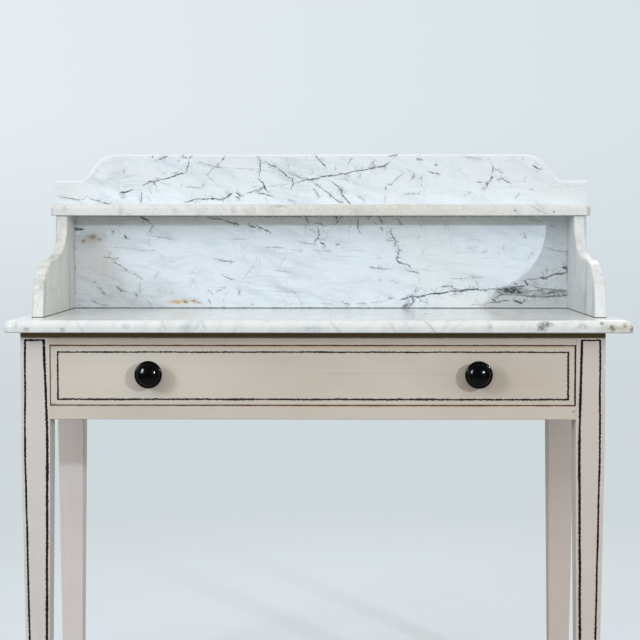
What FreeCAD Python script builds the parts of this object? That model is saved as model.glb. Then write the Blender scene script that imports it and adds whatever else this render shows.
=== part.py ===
import FreeCAD, Part
import os

os.makedirs("parts", exist_ok=True)
V = FreeCAD.Vector

# All sizes are in millimetres. X runs to the right, Y to the back and Z up. The origin lies on the
# floor under the middle of the whole washstand.

# Marble top
TOP_WIDTH = 1071.0
TOP_DEPTH = 483.0
TOP_THICKNESS = 21.0
TOP_HEIGHT = 760.0
TOP_ROUND_SHARE = 0.6
UNDER_ROUND_SHARE = 0.12
CORNER_EXTRA = 5.0

# Marble back, cheeks and shelf
BACK_INSET = 15.5
BACK_THICKNESS = 20.0
BACK_HEIGHT = 301.0
GALLERY_RISE = 51.0
GALLERY_SHOULDER = 45.0
GALLERY_RUN = 81.0
GALLERY_EASE = 3.5
CHEEK_INSET = 32.0
CHEEK_THICKNESS = 20.0
CHEEK_HEIGHT = 181.0
CHEEK_SETBACK = 104.0
CHEEK_HEAD = 87.0
CHEEK_BELLY = 99.0
CHEEK_NOSE = 130.0
CHEEK_FULLNESS = 0.64
CHEEK_EASE = 2.5
SHELF_THICKNESS = 21.0
SHELF_SIDE_LIP = 11.5
SHELF_FRONT_LIP = 8.0

# Putty beds under the marble and dowels through them
BED_SUNK = 1.0
BED_PROUD = 1.0
DOWEL_RADIUS = 4.0
DOWEL_IN_TOP = 12.0
DOWEL_IN_WALL = 18.0

# Painted stand
SIDE_OVERHANG = 33.8
FRONT_OVERHANG = 38.0
BACK_OVERHANG = 18.0
FRAME_SHIFT = -10.0
LEG_SIZE = 50.0
LEG_FOOT = 36.5
LEG_ARRIS = 1.0
TAPER_DROP = 55.0
TOP_RAIL = 23.0
DRAWER_OPENING = 104.5
BOTTOM_RAIL = 23.5
RAIL_THICKNESS = 22.0
RAIL_SET = 4.0
TENON_SHOULDER = 14.0
TENON_HAUNCH = 32.0
RUNNER_LAP = 16.0
GUIDE_HEIGHT = 30.0
STUB_LENGTH = 10.0
STOP_WIDTH = 40.0
STOP_HEIGHT = 6.0

# Drawer
FRONT_THICKNESS = 22.0
FRONT_EASE = 1.2
SIDE_THICKNESS = 12.0
BOTTOM_THICKNESS = 8.0
BOTTOM_UP = 10.0
GROOVE_DEPTH = 5.0
DOVETAIL_LAP = 7.0
TAIL_COUNT = 3
REAR_ROOM = 30.0

# Knobs and screws
KNOB_SPREAD = 563.5
KNOB_SHIFT = 2.0
KNOB_RAISE = 3.0
KNOB_RADIUS = 23.8
KNOB_PROJECTION = 34.0
SCREW_RADIUS = 2.2
SCREW_HEAD = 4.5
HEAD_DEPTH = 3.0
NAIL_RADIUS = 0.9
NAIL_LENGTH = 24.0

# Clearances
GLUE = 0.1
END_ROOM = 1.0
PIN_ROOM = 0.3
DRAWER_SIDE_GAP = 1.5
DRAWER_TOP_GAP = 1.5
DRAWER_FOOT_GAP = 1.2
RUN_GAP = 0.3
PANEL_ROOM = 0.4

# Levels that follow from the sizes above
FRAME_TOP = TOP_HEIGHT - TOP_THICKNESS
OPENING_TOP = FRAME_TOP - TOP_RAIL
OPENING_FOOT = OPENING_TOP - DRAWER_OPENING
RAIL_FOOT = OPENING_FOOT - BOTTOM_RAIL
TAPER_START = RAIL_FOOT - TAPER_DROP
WALL_FOOT = TOP_HEIGHT + BED_PROUD
SHELF_FOOT = TOP_HEIGHT + CHEEK_HEIGHT

# Planes that follow from the sizes above
KNOB_OUT = max(KNOB_PROJECTION - FRONT_OVERHANG, 0.0)
TOP_FRONT = KNOB_OUT - (TOP_DEPTH + KNOB_OUT) / 2
TOP_BACK = TOP_FRONT + TOP_DEPTH
WALL_FACE = TOP_BACK - BACK_THICKNESS
CHEEK_OUT = TOP_WIDTH / 2 - CHEEK_INSET
CHEEK_IN = CHEEK_OUT - CHEEK_THICKNESS
FRAME_FRONT = TOP_FRONT + FRONT_OVERHANG
FRAME_BACK = TOP_BACK - BACK_OVERHANG
FRAME_LEFT = FRAME_SHIFT - TOP_WIDTH / 2 + SIDE_OVERHANG
FRAME_RIGHT = 2 * FRAME_SHIFT - FRAME_LEFT
OPEN_LEFT = FRAME_LEFT + LEG_SIZE
OPEN_RIGHT = FRAME_RIGHT - LEG_SIZE
OPEN_WIDTH = OPEN_RIGHT - OPEN_LEFT
LEG_BACK = FRAME_FRONT + LEG_SIZE
REAR_LEG_FRONT = FRAME_BACK - LEG_SIZE
BACK_RAIL_FRONT = FRAME_BACK - RAIL_SET - RAIL_THICKNESS
SIDE_RAIL_IN = FRAME_LEFT + RAIL_SET + RAIL_THICKNESS
TENON_LENGTH = LEG_SIZE / 2
TENON_THICKNESS = RAIL_THICKNESS / 3
DRAWER_LEFT = OPEN_LEFT + DRAWER_SIDE_GAP
DRAWER_RIGHT = OPEN_RIGHT - DRAWER_SIDE_GAP
FRONT_BACK = FRAME_FRONT + FRONT_THICKNESS
DRAWER_REAR = BACK_RAIL_FRONT - REAR_ROOM
BACK_FACE = DRAWER_REAR - SIDE_THICKNESS
DRAWER_FOOT = OPENING_FOOT + RUN_GAP
SIDE_TOP = OPENING_TOP - 2 * DRAWER_TOP_GAP
PANEL_FOOT = DRAWER_FOOT + BOTTOM_UP
PANEL_TOP = PANEL_FOOT + BOTTOM_THICKNESS
BACK_BOARD_TOP = SIDE_TOP - 4.0
KNOB_HEIGHT = (OPENING_TOP + OPENING_FOOT) / 2 + KNOB_RAISE


def box(x0, x1, y0, y1, z0, z1):
    """A block between two corners."""
    return Part.makeBox(x1 - x0, y1 - y0, z1 - z0, V(x0, y0, z0))


def save(name, *shapes):
    """Write one named piece, or a set of like pieces, as a STEP file."""
    shape = shapes[0]
    if len(shapes) > 1:
        shape = Part.makeCompound(list(shapes))
    shape.exportStep("parts/" + name + ".step")
    print(name, len(shape.Solids), round(shape.Volume / 1000.0, 1), "cm3", shape.isValid())


def mirrored(shape, x):
    """The same piece on the other hand of an upright plane across X."""
    return shape.mirror(V(x, 0, 0), V(1, 0, 0))


def bezier(*points):
    """One smooth edge through control points."""
    curve = Part.BezierCurve()
    curve.setPoles(list(points))
    return curve.toShape()


def quarter(start, corner, end, fullness=0.5523):
    """A quarter-round edge that leaves start and reaches end along the two arms of a corner."""
    first = start + (corner - start) * fullness
    second = end + (corner - end) * fullness
    return bezier(start, first, second, end)


def line(start, end):
    """One straight edge."""
    return Part.LineSegment(start, end).toShape()


def prism(edges, direction):
    """A closed outline pushed along a direction."""
    return Part.Face(Part.Wire(edges)).extrude(direction)


def polygon(points, direction):
    """A many-sided outline pushed along a direction."""
    return Part.Face(Part.makePolygon(points + [points[0]])).extrude(direction)


def eased(shape, radius, wanted):
    """Round the edges that the test picks out."""
    return shape.makeFillet(radius, [edge for edge in shape.Edges if wanted(edge.BoundBox)])


def near(a, b):
    """Are two coordinates the same?"""
    return abs(a - b) < 0.01


def rod(radius, start, direction, length):
    """A round pin, or the hole for one."""
    return Part.makeCylinder(radius, length, start, direction)


# Marble top: a slab with round front corners, a thick round along its upper edge and a thin one below
TOP_ROUND = TOP_THICKNESS * TOP_ROUND_SHARE
UNDER_ROUND = TOP_THICKNESS * UNDER_ROUND_SHARE
CORNER = TOP_ROUND + CORNER_EXTRA


def slab(half, front, back, foot, thickness, corner, upper, lower):
    """A flat slab whose front and side edges are rounded above and below."""
    left_back = V(-half, back, foot)
    left_front = V(-half, front + corner, foot)
    front_left = V(corner - half, front, foot)
    front_right = V(half - corner, front, foot)
    right_front = V(half, front + corner, foot)
    right_back = V(half, back, foot)
    edges = [
        line(left_back, left_front),
        quarter(left_front, V(-half, front, foot), front_left),
        line(front_left, front_right),
        quarter(front_right, V(half, front, foot), right_front),
        line(right_front, right_back),
        line(right_back, left_back),
    ]
    shape = prism(edges, V(0, 0, thickness))

    def on_rim(level):
        return lambda b: near(b.ZMin, level) and near(b.ZMax, level) and not near(b.YMin, back)

    shape = eased(shape, upper, on_rim(foot + thickness))
    return eased(shape, lower, on_rim(foot))


marble_top = slab(
    TOP_WIDTH / 2,
    TOP_FRONT,
    TOP_BACK,
    FRAME_TOP,
    TOP_THICKNESS,
    CORNER,
    TOP_ROUND,
    UNDER_ROUND,
)

# Marble back: one slab whose top rises in an ogee from two low shoulders to a level crest
BACK_HALF = TOP_WIDTH / 2 - BACK_INSET
CREST = TOP_HEIGHT + BACK_HEIGHT
SHOULDER = CREST - GALLERY_RISE
OGEE_FOOT = BACK_HALF - GALLERY_SHOULDER
OGEE_TOP = OGEE_FOOT - GALLERY_RUN


def on_wall(x, z):
    return V(x, WALL_FACE, z)


def ogee(side):
    """The curved step of the crest on one side, from the crest down to the shoulder."""
    first = OGEE_TOP + 0.725 * GALLERY_RUN
    second = OGEE_TOP + 0.675 * GALLERY_RUN
    return bezier(
        on_wall(side * OGEE_TOP, CREST),
        on_wall(side * first, CREST),
        on_wall(side * second, SHOULDER),
        on_wall(side * OGEE_FOOT, SHOULDER),
    )


back_outline = [
    line(on_wall(-BACK_HALF, WALL_FOOT), on_wall(BACK_HALF, WALL_FOOT)),
    line(on_wall(BACK_HALF, WALL_FOOT), on_wall(BACK_HALF, SHOULDER)),
    line(on_wall(BACK_HALF, SHOULDER), on_wall(OGEE_FOOT, SHOULDER)),
    ogee(1),
    line(on_wall(OGEE_TOP, CREST), on_wall(-OGEE_TOP, CREST)),
    ogee(-1),
    line(on_wall(-OGEE_FOOT, SHOULDER), on_wall(-BACK_HALF, SHOULDER)),
    line(on_wall(-BACK_HALF, SHOULDER), on_wall(-BACK_HALF, WALL_FOOT)),
]
marble_back = prism(back_outline, V(0, BACK_THICKNESS, 0))
marble_back = eased(
    marble_back,
    GALLERY_EASE,
    lambda b: near(b.YMax, WALL_FACE) and b.ZMin > SHOULDER - 0.01,
)

# Cheeks: side walls with a hollow above and a full belly below, standing against the back slab
FOOT_FRONT = TOP_FRONT + CHEEK_SETBACK
HEAD_FRONT = WALL_FACE - CHEEK_HEAD
BELLY_TOP = TOP_HEIGHT + CHEEK_BELLY
BELLY_BACK = FOOT_FRONT + CHEEK_NOSE


def on_cheek(y, z):
    return V(CHEEK_IN, y, z)


cheek_outline = [
    line(on_cheek(WALL_FACE, WALL_FOOT), on_cheek(FOOT_FRONT, WALL_FOOT)),
    quarter(
        on_cheek(FOOT_FRONT, WALL_FOOT),
        on_cheek(FOOT_FRONT, BELLY_TOP),
        on_cheek(BELLY_BACK, BELLY_TOP),
        CHEEK_FULLNESS,
    ),
    quarter(
        on_cheek(BELLY_BACK, BELLY_TOP),
        on_cheek(HEAD_FRONT, BELLY_TOP),
        on_cheek(HEAD_FRONT, SHELF_FOOT),
        CHEEK_FULLNESS,
    ),
    line(on_cheek(HEAD_FRONT, SHELF_FOOT), on_cheek(WALL_FACE, SHELF_FOOT)),
    line(on_cheek(WALL_FACE, SHELF_FOOT), on_cheek(WALL_FACE, WALL_FOOT)),
]
right_cheek = prism(cheek_outline, V(CHEEK_THICKNESS, 0, 0))


def on_curve(b):
    """Is this one of the long curved edges of a cheek?"""
    return near(b.XMin, b.XMax) and b.YMax < WALL_FACE - 0.01 and b.ZMax - b.ZMin > CHEEK_EASE


right_cheek = eased(right_cheek, CHEEK_EASE, on_curve)

# Shelf: a narrow slab on the heads of the cheeks, against the back slab
SHELF_HALF = CHEEK_OUT + SHELF_SIDE_LIP
SHELF_FRONT = HEAD_FRONT - SHELF_FRONT_LIP
SHELF_ROUND = SHELF_THICKNESS * 0.43
SHELF_UNDER = SHELF_THICKNESS * 0.08
marble_shelf = slab(
    SHELF_HALF,
    SHELF_FRONT,
    WALL_FACE,
    SHELF_FOOT,
    SHELF_THICKNESS,
    SHELF_ROUND + 3.0,
    SHELF_ROUND,
    SHELF_UNDER,
)

# Putty beds: thin strips let a little into the marble top, as wide as the cheeks and the back above them
BED_FOOT = TOP_HEIGHT - BED_SUNK


def bed(x0, x1, y0, y1):
    """A bed and the shallow recess that takes it."""
    strip = box(x0, x1, y0, y1, BED_FOOT, WALL_FOOT)
    recess = box(x0 - GLUE, x1 + GLUE, y0 - GLUE, y1 + GLUE, BED_FOOT, TOP_HEIGHT + 1.0)
    return strip, recess


right_bed, right_recess = bed(CHEEK_IN, CHEEK_OUT, FOOT_FRONT, WALL_FACE - GLUE)
back_bed, back_recess = bed(-BACK_HALF, BACK_HALF, WALL_FACE, TOP_BACK)
left_bed = mirrored(right_bed, 0)
left_recess = mirrored(right_recess, 0)
marble_top = marble_top.cut([right_recess, left_recess, back_recess])

# Dowels: brass pins that key the cheeks and the back to the top, and the shelf to the walls
UP = V(0, 0, 1)
BACKWARD = V(0, 1, 0)
CHEEK_MIDDLE = CHEEK_IN + CHEEK_THICKNESS / 2
BACK_MIDDLE = WALL_FACE + BACK_THICKNESS / 2
DOWEL_FOOT = TOP_HEIGHT - DOWEL_IN_TOP
DOWEL_LENGTH = DOWEL_IN_TOP + BED_PROUD + DOWEL_IN_WALL
HOLE_RADIUS = DOWEL_RADIUS + PIN_ROOM


def upright_dowel(x, y):
    """A pin that stands in the top and reaches into the wall above, with the hole around it."""
    pin = rod(DOWEL_RADIUS, V(x, y, DOWEL_FOOT), UP, DOWEL_LENGTH)
    hole = rod(HOLE_RADIUS, V(x, y, DOWEL_FOOT), UP, DOWEL_LENGTH + END_ROOM)
    return pin, hole


cheek_pins = []
cheek_holes = []
for share in (0.3, 0.8):
    pin, hole = upright_dowel(CHEEK_MIDDLE, FOOT_FRONT + share * (WALL_FACE - FOOT_FRONT))
    cheek_pins.append(pin)
    cheek_holes.append(hole)
back_pins = []
back_holes = []
for share in (-0.7, 0.0, 0.7):
    pin, hole = upright_dowel(share * BACK_HALF, BACK_MIDDLE)
    back_pins.append(pin)
    back_holes.append(hole)
left_pins = [mirrored(pin, 0) for pin in cheek_pins]
left_holes = [mirrored(hole, 0) for hole in cheek_holes]

shelf_pin_foot = V(CHEEK_MIDDLE, HEAD_FRONT + CHEEK_HEAD / 2, SHELF_FOOT - DOWEL_IN_WALL)
shelf_pin = rod(DOWEL_RADIUS, shelf_pin_foot, UP, DOWEL_IN_WALL + DOWEL_IN_TOP)
shelf_hole = rod(HOLE_RADIUS, shelf_pin_foot, UP, DOWEL_IN_WALL + DOWEL_IN_TOP + END_ROOM)
edge_pins = []
edge_holes = []
for share in (-0.5, 0.5):
    start = V(share * SHELF_HALF, WALL_FACE - DOWEL_IN_WALL, SHELF_FOOT + SHELF_THICKNESS / 2)
    edge_pins.append(rod(DOWEL_RADIUS, start, BACKWARD, DOWEL_IN_WALL + DOWEL_IN_TOP))
    edge_holes.append(rod(HOLE_RADIUS, start, BACKWARD, DOWEL_IN_WALL + DOWEL_IN_TOP + END_ROOM))
left_shelf_pin = mirrored(shelf_pin, 0)
left_shelf_hole = mirrored(shelf_hole, 0)

marble_top = marble_top.cut(cheek_holes + left_holes + back_holes)
right_cheek = right_cheek.cut(cheek_holes + [shelf_hole])
left_cheek = mirrored(right_cheek, 0)
marble_back = marble_back.cut(back_holes + edge_holes)
marble_shelf = marble_shelf.cut([shelf_hole, left_shelf_hole] + edge_holes)
right_bed = right_bed.cut(cheek_holes)
left_bed = left_bed.cut(left_holes)
back_bed = back_bed.cut(back_holes)

save("marble_top", marble_top)
save("marble_back", marble_back)
save("left_cheek", left_cheek)
save("right_cheek", right_cheek)
save("marble_shelf", marble_shelf)
save("bedding_putty", left_bed, right_bed, back_bed)
save("cheek_dowels", *cheek_pins, *left_pins)
save("back_dowels", *back_pins)
save("shelf_dowels", shelf_pin, left_shelf_pin, *edge_pins)


# Rails with their tenons. Each mortise is the tenon grown by the glue line, with room at its end.
def tenon(x0, x1, y0, y1, z0, z1, along):
    """A tenon and the mortise for it. The direction says which way the tenon points."""
    room = END_ROOM * along
    peg = box(x0, x1, y0, y1, z0, z1)
    low = V(x0 - GLUE, y0 - GLUE, z0 - GLUE)
    high = V(x1 + GLUE, y1 + GLUE, z1 + GLUE)
    hole = box(low.x, high.x, low.y, high.y, low.z, high.z)
    moved = hole.copy()
    moved.translate(room)
    return peg, hole.fuse(moved).removeSplitter()


TENON_FOOT = RAIL_FOOT + TENON_SHOULDER
TENON_TOP = FRAME_TOP - TENON_HAUNCH
SIDE_TENON_LEFT = FRAME_LEFT + RAIL_SET + TENON_THICKNESS
SIDE_TENON_RIGHT = SIDE_TENON_LEFT + TENON_THICKNESS
BACK_TENON_FRONT = BACK_RAIL_FRONT + TENON_THICKNESS
BACK_TENON_BACK = BACK_TENON_FRONT + TENON_THICKNESS

side_front_peg, side_front_hole = tenon(
    SIDE_TENON_LEFT, SIDE_TENON_RIGHT, LEG_BACK - TENON_LENGTH, LEG_BACK, TENON_FOOT, TENON_TOP, -BACKWARD
)
side_rear_peg, side_rear_hole = tenon(
    SIDE_TENON_LEFT,
    SIDE_TENON_RIGHT,
    REAR_LEG_FRONT,
    REAR_LEG_FRONT + TENON_LENGTH,
    TENON_FOOT,
    TENON_TOP,
    BACKWARD,
)
LEFTWARD = V(-1, 0, 0)
back_peg, back_hole = tenon(
    OPEN_LEFT - TENON_LENGTH, OPEN_LEFT, BACK_TENON_FRONT, BACK_TENON_BACK, TENON_FOOT, TENON_TOP, LEFTWARD
)

left_side_rail = box(
    FRAME_LEFT + RAIL_SET, SIDE_RAIL_IN, LEG_BACK, REAR_LEG_FRONT, RAIL_FOOT, FRAME_TOP
)
left_side_rail = left_side_rail.fuse([side_front_peg, side_rear_peg]).removeSplitter()
back_rail = box(OPEN_LEFT, OPEN_RIGHT, BACK_RAIL_FRONT, FRAME_BACK - RAIL_SET, RAIL_FOOT, FRAME_TOP)
back_rail = back_rail.fuse([back_peg, mirrored(back_peg, FRAME_SHIFT)]).removeSplitter()

# Lower front rail: flat, with two short tenons at each end
LOWER_TENON_FOOT = RAIL_FOOT + BOTTOM_RAIL * 0.25
LOWER_TENON_TOP = OPENING_FOOT - BOTTOM_RAIL * 0.25
lower_pegs = []
lower_holes = []
for share in (0.2, 0.6):
    peg, hole = tenon(
        OPEN_LEFT - TENON_LENGTH,
        OPEN_LEFT,
        FRAME_FRONT + share * LEG_SIZE,
        FRAME_FRONT + (share + 0.2) * LEG_SIZE,
        LOWER_TENON_FOOT,
        LOWER_TENON_TOP,
        LEFTWARD,
    )
    lower_pegs.append(peg)
    lower_holes.append(hole)
bottom_front_rail = box(OPEN_LEFT, OPEN_RIGHT, FRAME_FRONT, LEG_BACK, RAIL_FOOT, OPENING_FOOT)
bottom_front_rail = eased(
    bottom_front_rail, LEG_ARRIS, lambda b: near(b.YMax, FRAME_FRONT) and b.XLength > OPEN_WIDTH / 2
)
bottom_front_rail = bottom_front_rail.fuse(lower_pegs + [mirrored(peg, FRAME_SHIFT) for peg in lower_pegs])
bottom_front_rail = bottom_front_rail.removeSplitter()

# Upper front rail: flat, dropped into the leg heads with a dovetail at each end
DOVE_LENGTH = LEG_SIZE * 0.36


def dove(grow, foot, height):
    """The dovetail on the left end of the upper rail, or the socket for it."""
    root = LEG_SIZE * 0.26 + grow
    tip = LEG_SIZE * 0.34 + grow
    middle = FRAME_FRONT + LEG_SIZE / 2
    end = OPEN_LEFT - DOVE_LENGTH - grow
    points = [
        V(OPEN_LEFT, middle - root, foot),
        V(OPEN_LEFT, middle + root, foot),
        V(end, middle + tip, foot),
        V(end, middle - tip, foot),
    ]
    return polygon(points, V(0, 0, height))


dove_tail = dove(0.0, OPENING_TOP, TOP_RAIL)
dove_socket = dove(GLUE, OPENING_TOP, TOP_RAIL + 1.0)
top_front_rail = box(OPEN_LEFT, OPEN_RIGHT, FRAME_FRONT, LEG_BACK, OPENING_TOP, FRAME_TOP)
top_front_rail = eased(
    top_front_rail,
    LEG_ARRIS,
    lambda b: near(b.YMax, FRAME_FRONT) and near(b.ZMax, OPENING_TOP) and b.XLength > OPEN_WIDTH / 2,
)
top_front_rail = top_front_rail.fuse([dove_tail, mirrored(dove_tail, FRAME_SHIFT)]).removeSplitter()


# Legs: square heads and tapered shafts, with softened arrises
def square_ring(x, y, size, z):
    """A square outline with small round corners, centred on the leg."""
    half = size / 2
    flat = half - LEG_ARRIS
    edges = []
    for turn in range(4):
        spin = FreeCAD.Rotation(UP, 90 * turn)
        middle = V(x, y, z)
        start = middle + spin.multVec(V(half, -flat, 0))
        end = middle + spin.multVec(V(half, flat, 0))
        after = middle + spin.multVec(V(flat, half, 0))
        edges.append(line(start, end))
        edges.append(quarter(end, middle + spin.multVec(V(half, half, 0)), after))
    return Part.Wire(edges)


def leg(x, y):
    """A leg that stands on the floor with its middle at x and y."""
    rings = [
        square_ring(x, y, LEG_FOOT, 0.0),
        square_ring(x, y, LEG_SIZE, TAPER_START),
        square_ring(x, y, LEG_SIZE, FRAME_TOP),
    ]
    return Part.makeLoft(rings, True, True)


LEG_X = FRAME_LEFT + LEG_SIZE / 2
front_left_leg = leg(LEG_X, FRAME_FRONT + LEG_SIZE / 2)
front_left_leg = front_left_leg.cut([side_front_hole, dove_socket] + lower_holes)
rear_left_leg = leg(LEG_X, FRAME_BACK - LEG_SIZE / 2)
rear_left_leg = rear_left_leg.cut([side_rear_hole, back_hole])

# Runners, guides and kickers carry, steer and hold down the drawer. The runner and the kicker have the
# same plan: a wide strip between the legs and a narrow tongue that goes on to the back rail.
LAP_RIGHT = OPEN_LEFT + RUNNER_LAP


def bearer(foot, top):
    """A strip beside the side rail that reaches under or over the drawer's side."""
    wide = box(SIDE_RAIL_IN, LAP_RIGHT, LEG_BACK, REAR_LEG_FRONT, foot, top)
    tongue = box(OPEN_LEFT, LAP_RIGHT, LEG_BACK, BACK_RAIL_FRONT, foot, top)
    return wide.fuse(tongue).removeSplitter()


stub_peg, stub_hole = tenon(
    OPEN_LEFT + RUNNER_LAP * 0.2,
    LAP_RIGHT,
    LEG_BACK - STUB_LENGTH,
    LEG_BACK,
    LOWER_TENON_FOOT,
    LOWER_TENON_TOP,
    -BACKWARD,
)
left_runner = bearer(RAIL_FOOT, OPENING_FOOT).fuse(stub_peg).removeSplitter()
bottom_front_rail = bottom_front_rail.cut([stub_hole, mirrored(stub_hole, FRAME_SHIFT)])
left_kicker = bearer(OPENING_TOP, FRAME_TOP)
left_guide = box(
    SIDE_RAIL_IN, OPEN_LEFT, LEG_BACK, REAR_LEG_FRONT, OPENING_FOOT, OPENING_FOOT + GUIDE_HEIGHT
)

# Guide screws: each goes through the guide into the side rail, with its head sunk flush
screws = []
for share in (0.15, 0.5, 0.85):
    y = LEG_BACK + share * (REAR_LEG_FRONT - LEG_BACK)
    head_face = V(OPEN_LEFT, y, OPENING_FOOT + GUIDE_HEIGHT / 2)
    neck = V(OPEN_LEFT - HEAD_DEPTH, y, OPENING_FOOT + GUIDE_HEIGHT / 2)
    reach = OPEN_LEFT - HEAD_DEPTH - SIDE_RAIL_IN + RAIL_THICKNESS * 0.6
    head = rod(SCREW_HEAD, neck, V(1, 0, 0), HEAD_DEPTH - PIN_ROOM)
    shank = rod(SCREW_RADIUS, neck, LEFTWARD, reach)
    screws.append(head.fuse(shank).removeSplitter())
    sink = rod(SCREW_HEAD + PIN_ROOM, neck, V(1, 0, 0), HEAD_DEPTH + 1.0)
    pilot = rod(SCREW_RADIUS + PIN_ROOM, neck, LEFTWARD, reach + END_ROOM)
    left_guide = left_guide.cut([sink, pilot])
    left_side_rail = left_side_rail.cut(pilot)
right_screws = [mirrored(screw, FRAME_SHIFT) for screw in screws]

# Drawer stops: two blocks on the lower rail that meet the back of the drawer front
STOP_DEPTH = (LEG_SIZE - FRONT_THICKNESS) * 0.6
stops = []
for share in (-0.3, 0.3):
    x = FRAME_SHIFT + share * OPEN_WIDTH
    stops.append(
        box(
            x - STOP_WIDTH / 2,
            x + STOP_WIDTH / 2,
            FRONT_BACK,
            FRONT_BACK + STOP_DEPTH,
            OPENING_FOOT,
            OPENING_FOOT + STOP_HEIGHT,
        )
    )

save("front_left_leg", front_left_leg)
save("front_right_leg", mirrored(front_left_leg, FRAME_SHIFT))
save("rear_left_leg", rear_left_leg)
save("rear_right_leg", mirrored(rear_left_leg, FRAME_SHIFT))
save("top_front_rail", top_front_rail)
save("bottom_front_rail", bottom_front_rail)
save("left_side_rail", left_side_rail)
save("right_side_rail", mirrored(left_side_rail, FRAME_SHIFT))
save("back_rail", back_rail)
save("left_runner", left_runner)
save("right_runner", mirrored(left_runner, FRAME_SHIFT))
save("left_guide", left_guide)
save("right_guide", mirrored(left_guide, FRAME_SHIFT))
save("left_kicker", left_kicker)
save("right_kicker", mirrored(left_kicker, FRAME_SHIFT))
save("guide_screws", *screws, *right_screws)
save("drawer_stops", *stops)


# Drawer: sides dovetailed to the front and the back, with a bottom that slides into grooves
def tails(base, tip, foot, top, grow, x0, x1):
    """Dovetails that flare from a base line to their tips, or the sockets for them."""
    pitch = (top - foot) / TAIL_COUNT
    way = 1.0 if tip > base else -1.0
    pieces = []
    for number in range(TAIL_COUNT):
        middle = foot + (number + 0.5) * pitch
        root_half = 0.23 * pitch + grow
        tip_half = 0.33 * pitch + grow
        end = tip + way * grow
        points = [
            V(x0, base, middle - root_half),
            V(x0, end, middle - tip_half),
            V(x0, end, middle + tip_half),
            V(x0, base, middle + root_half),
        ]
        pieces.append(polygon(points, V(x1 - x0, 0, 0)))
    return pieces


SIDE_IN = DRAWER_LEFT + SIDE_THICKNESS
TAIL_TIP = FRAME_FRONT + DOVETAIL_LAP
FRONT_FOOT = OPENING_FOOT + DRAWER_FOOT_GAP
FRONT_TOP = OPENING_TOP - DRAWER_TOP_GAP
BACK_BOARD_FOOT = PANEL_TOP + PANEL_ROOM

front_tails = tails(FRONT_BACK, TAIL_TIP, PANEL_TOP, SIDE_TOP, 0.0, DRAWER_LEFT, SIDE_IN)
front_sockets = tails(FRONT_BACK, TAIL_TIP, PANEL_TOP, SIDE_TOP, GLUE, DRAWER_LEFT - 1.0, SIDE_IN + GLUE)
rear_tails = tails(BACK_FACE, DRAWER_REAR, BACK_BOARD_FOOT, BACK_BOARD_TOP, 0.0, DRAWER_LEFT, SIDE_IN)
rear_sockets = tails(
    BACK_FACE, DRAWER_REAR, BACK_BOARD_FOOT, BACK_BOARD_TOP, GLUE, DRAWER_LEFT - 1.0, SIDE_IN
)

plank = box(DRAWER_LEFT, SIDE_IN, FRONT_BACK, BACK_FACE, DRAWER_FOOT, SIDE_TOP)
heel = box(DRAWER_LEFT, SIDE_IN, BACK_FACE, DRAWER_REAR, DRAWER_FOOT, PANEL_TOP)
drawer_left_side = plank.fuse([heel] + front_tails + rear_tails).removeSplitter()
side_groove = box(
    SIDE_IN - GROOVE_DEPTH,
    SIDE_IN + 1.0,
    FRONT_BACK,
    DRAWER_REAR + 1.0,
    PANEL_FOOT,
    PANEL_TOP + PANEL_ROOM,
)
drawer_left_side = drawer_left_side.cut(side_groove)

drawer_front = box(DRAWER_LEFT, DRAWER_RIGHT, FRAME_FRONT, FRONT_BACK, FRONT_FOOT, FRONT_TOP)
drawer_front = eased(drawer_front, FRONT_EASE, lambda b: near(b.YMax, FRAME_FRONT))
front_groove = box(
    SIDE_IN - GROOVE_DEPTH,
    2 * FRAME_SHIFT - SIDE_IN + GROOVE_DEPTH,
    FRONT_BACK - GROOVE_DEPTH,
    FRONT_BACK + 1.0,
    PANEL_FOOT,
    PANEL_TOP + PANEL_ROOM,
)
drawer_front = drawer_front.cut(front_sockets + [mirrored(s, FRAME_SHIFT) for s in front_sockets])
drawer_front = drawer_front.cut(front_groove)

drawer_back = box(DRAWER_LEFT, DRAWER_RIGHT, BACK_FACE, DRAWER_REAR, BACK_BOARD_FOOT, BACK_BOARD_TOP)
drawer_back = drawer_back.cut(rear_sockets + [mirrored(s, FRAME_SHIFT) for s in rear_sockets])

PANEL_LEFT = SIDE_IN - GROOVE_DEPTH + PANEL_ROOM
drawer_bottom = box(
    PANEL_LEFT,
    2 * FRAME_SHIFT - PANEL_LEFT,
    FRONT_BACK - GROOVE_DEPTH + PANEL_ROOM,
    DRAWER_REAR,
    PANEL_FOOT,
    PANEL_TOP,
)

# Bottom nails: driven up through the bottom into the back board
NAIL_HEAD = NAIL_RADIUS * 2.8
nails = []
for share in (-0.8, -0.4, 0.0, 0.4, 0.8):
    x = FRAME_SHIFT + share * (DRAWER_RIGHT - DRAWER_LEFT) / 2
    start = V(x, BACK_FACE + SIDE_THICKNESS / 2, PANEL_FOOT)
    head = rod(NAIL_HEAD, start, -UP, 1.0)
    shank = rod(NAIL_RADIUS, start, UP, NAIL_LENGTH)
    nails.append(head.fuse(shank).removeSplitter())
    hole = rod(NAIL_RADIUS + PIN_ROOM / 2, start, UP, NAIL_LENGTH + END_ROOM)
    drawer_bottom = drawer_bottom.cut(hole)
    drawer_back = drawer_back.cut(hole)


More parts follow.
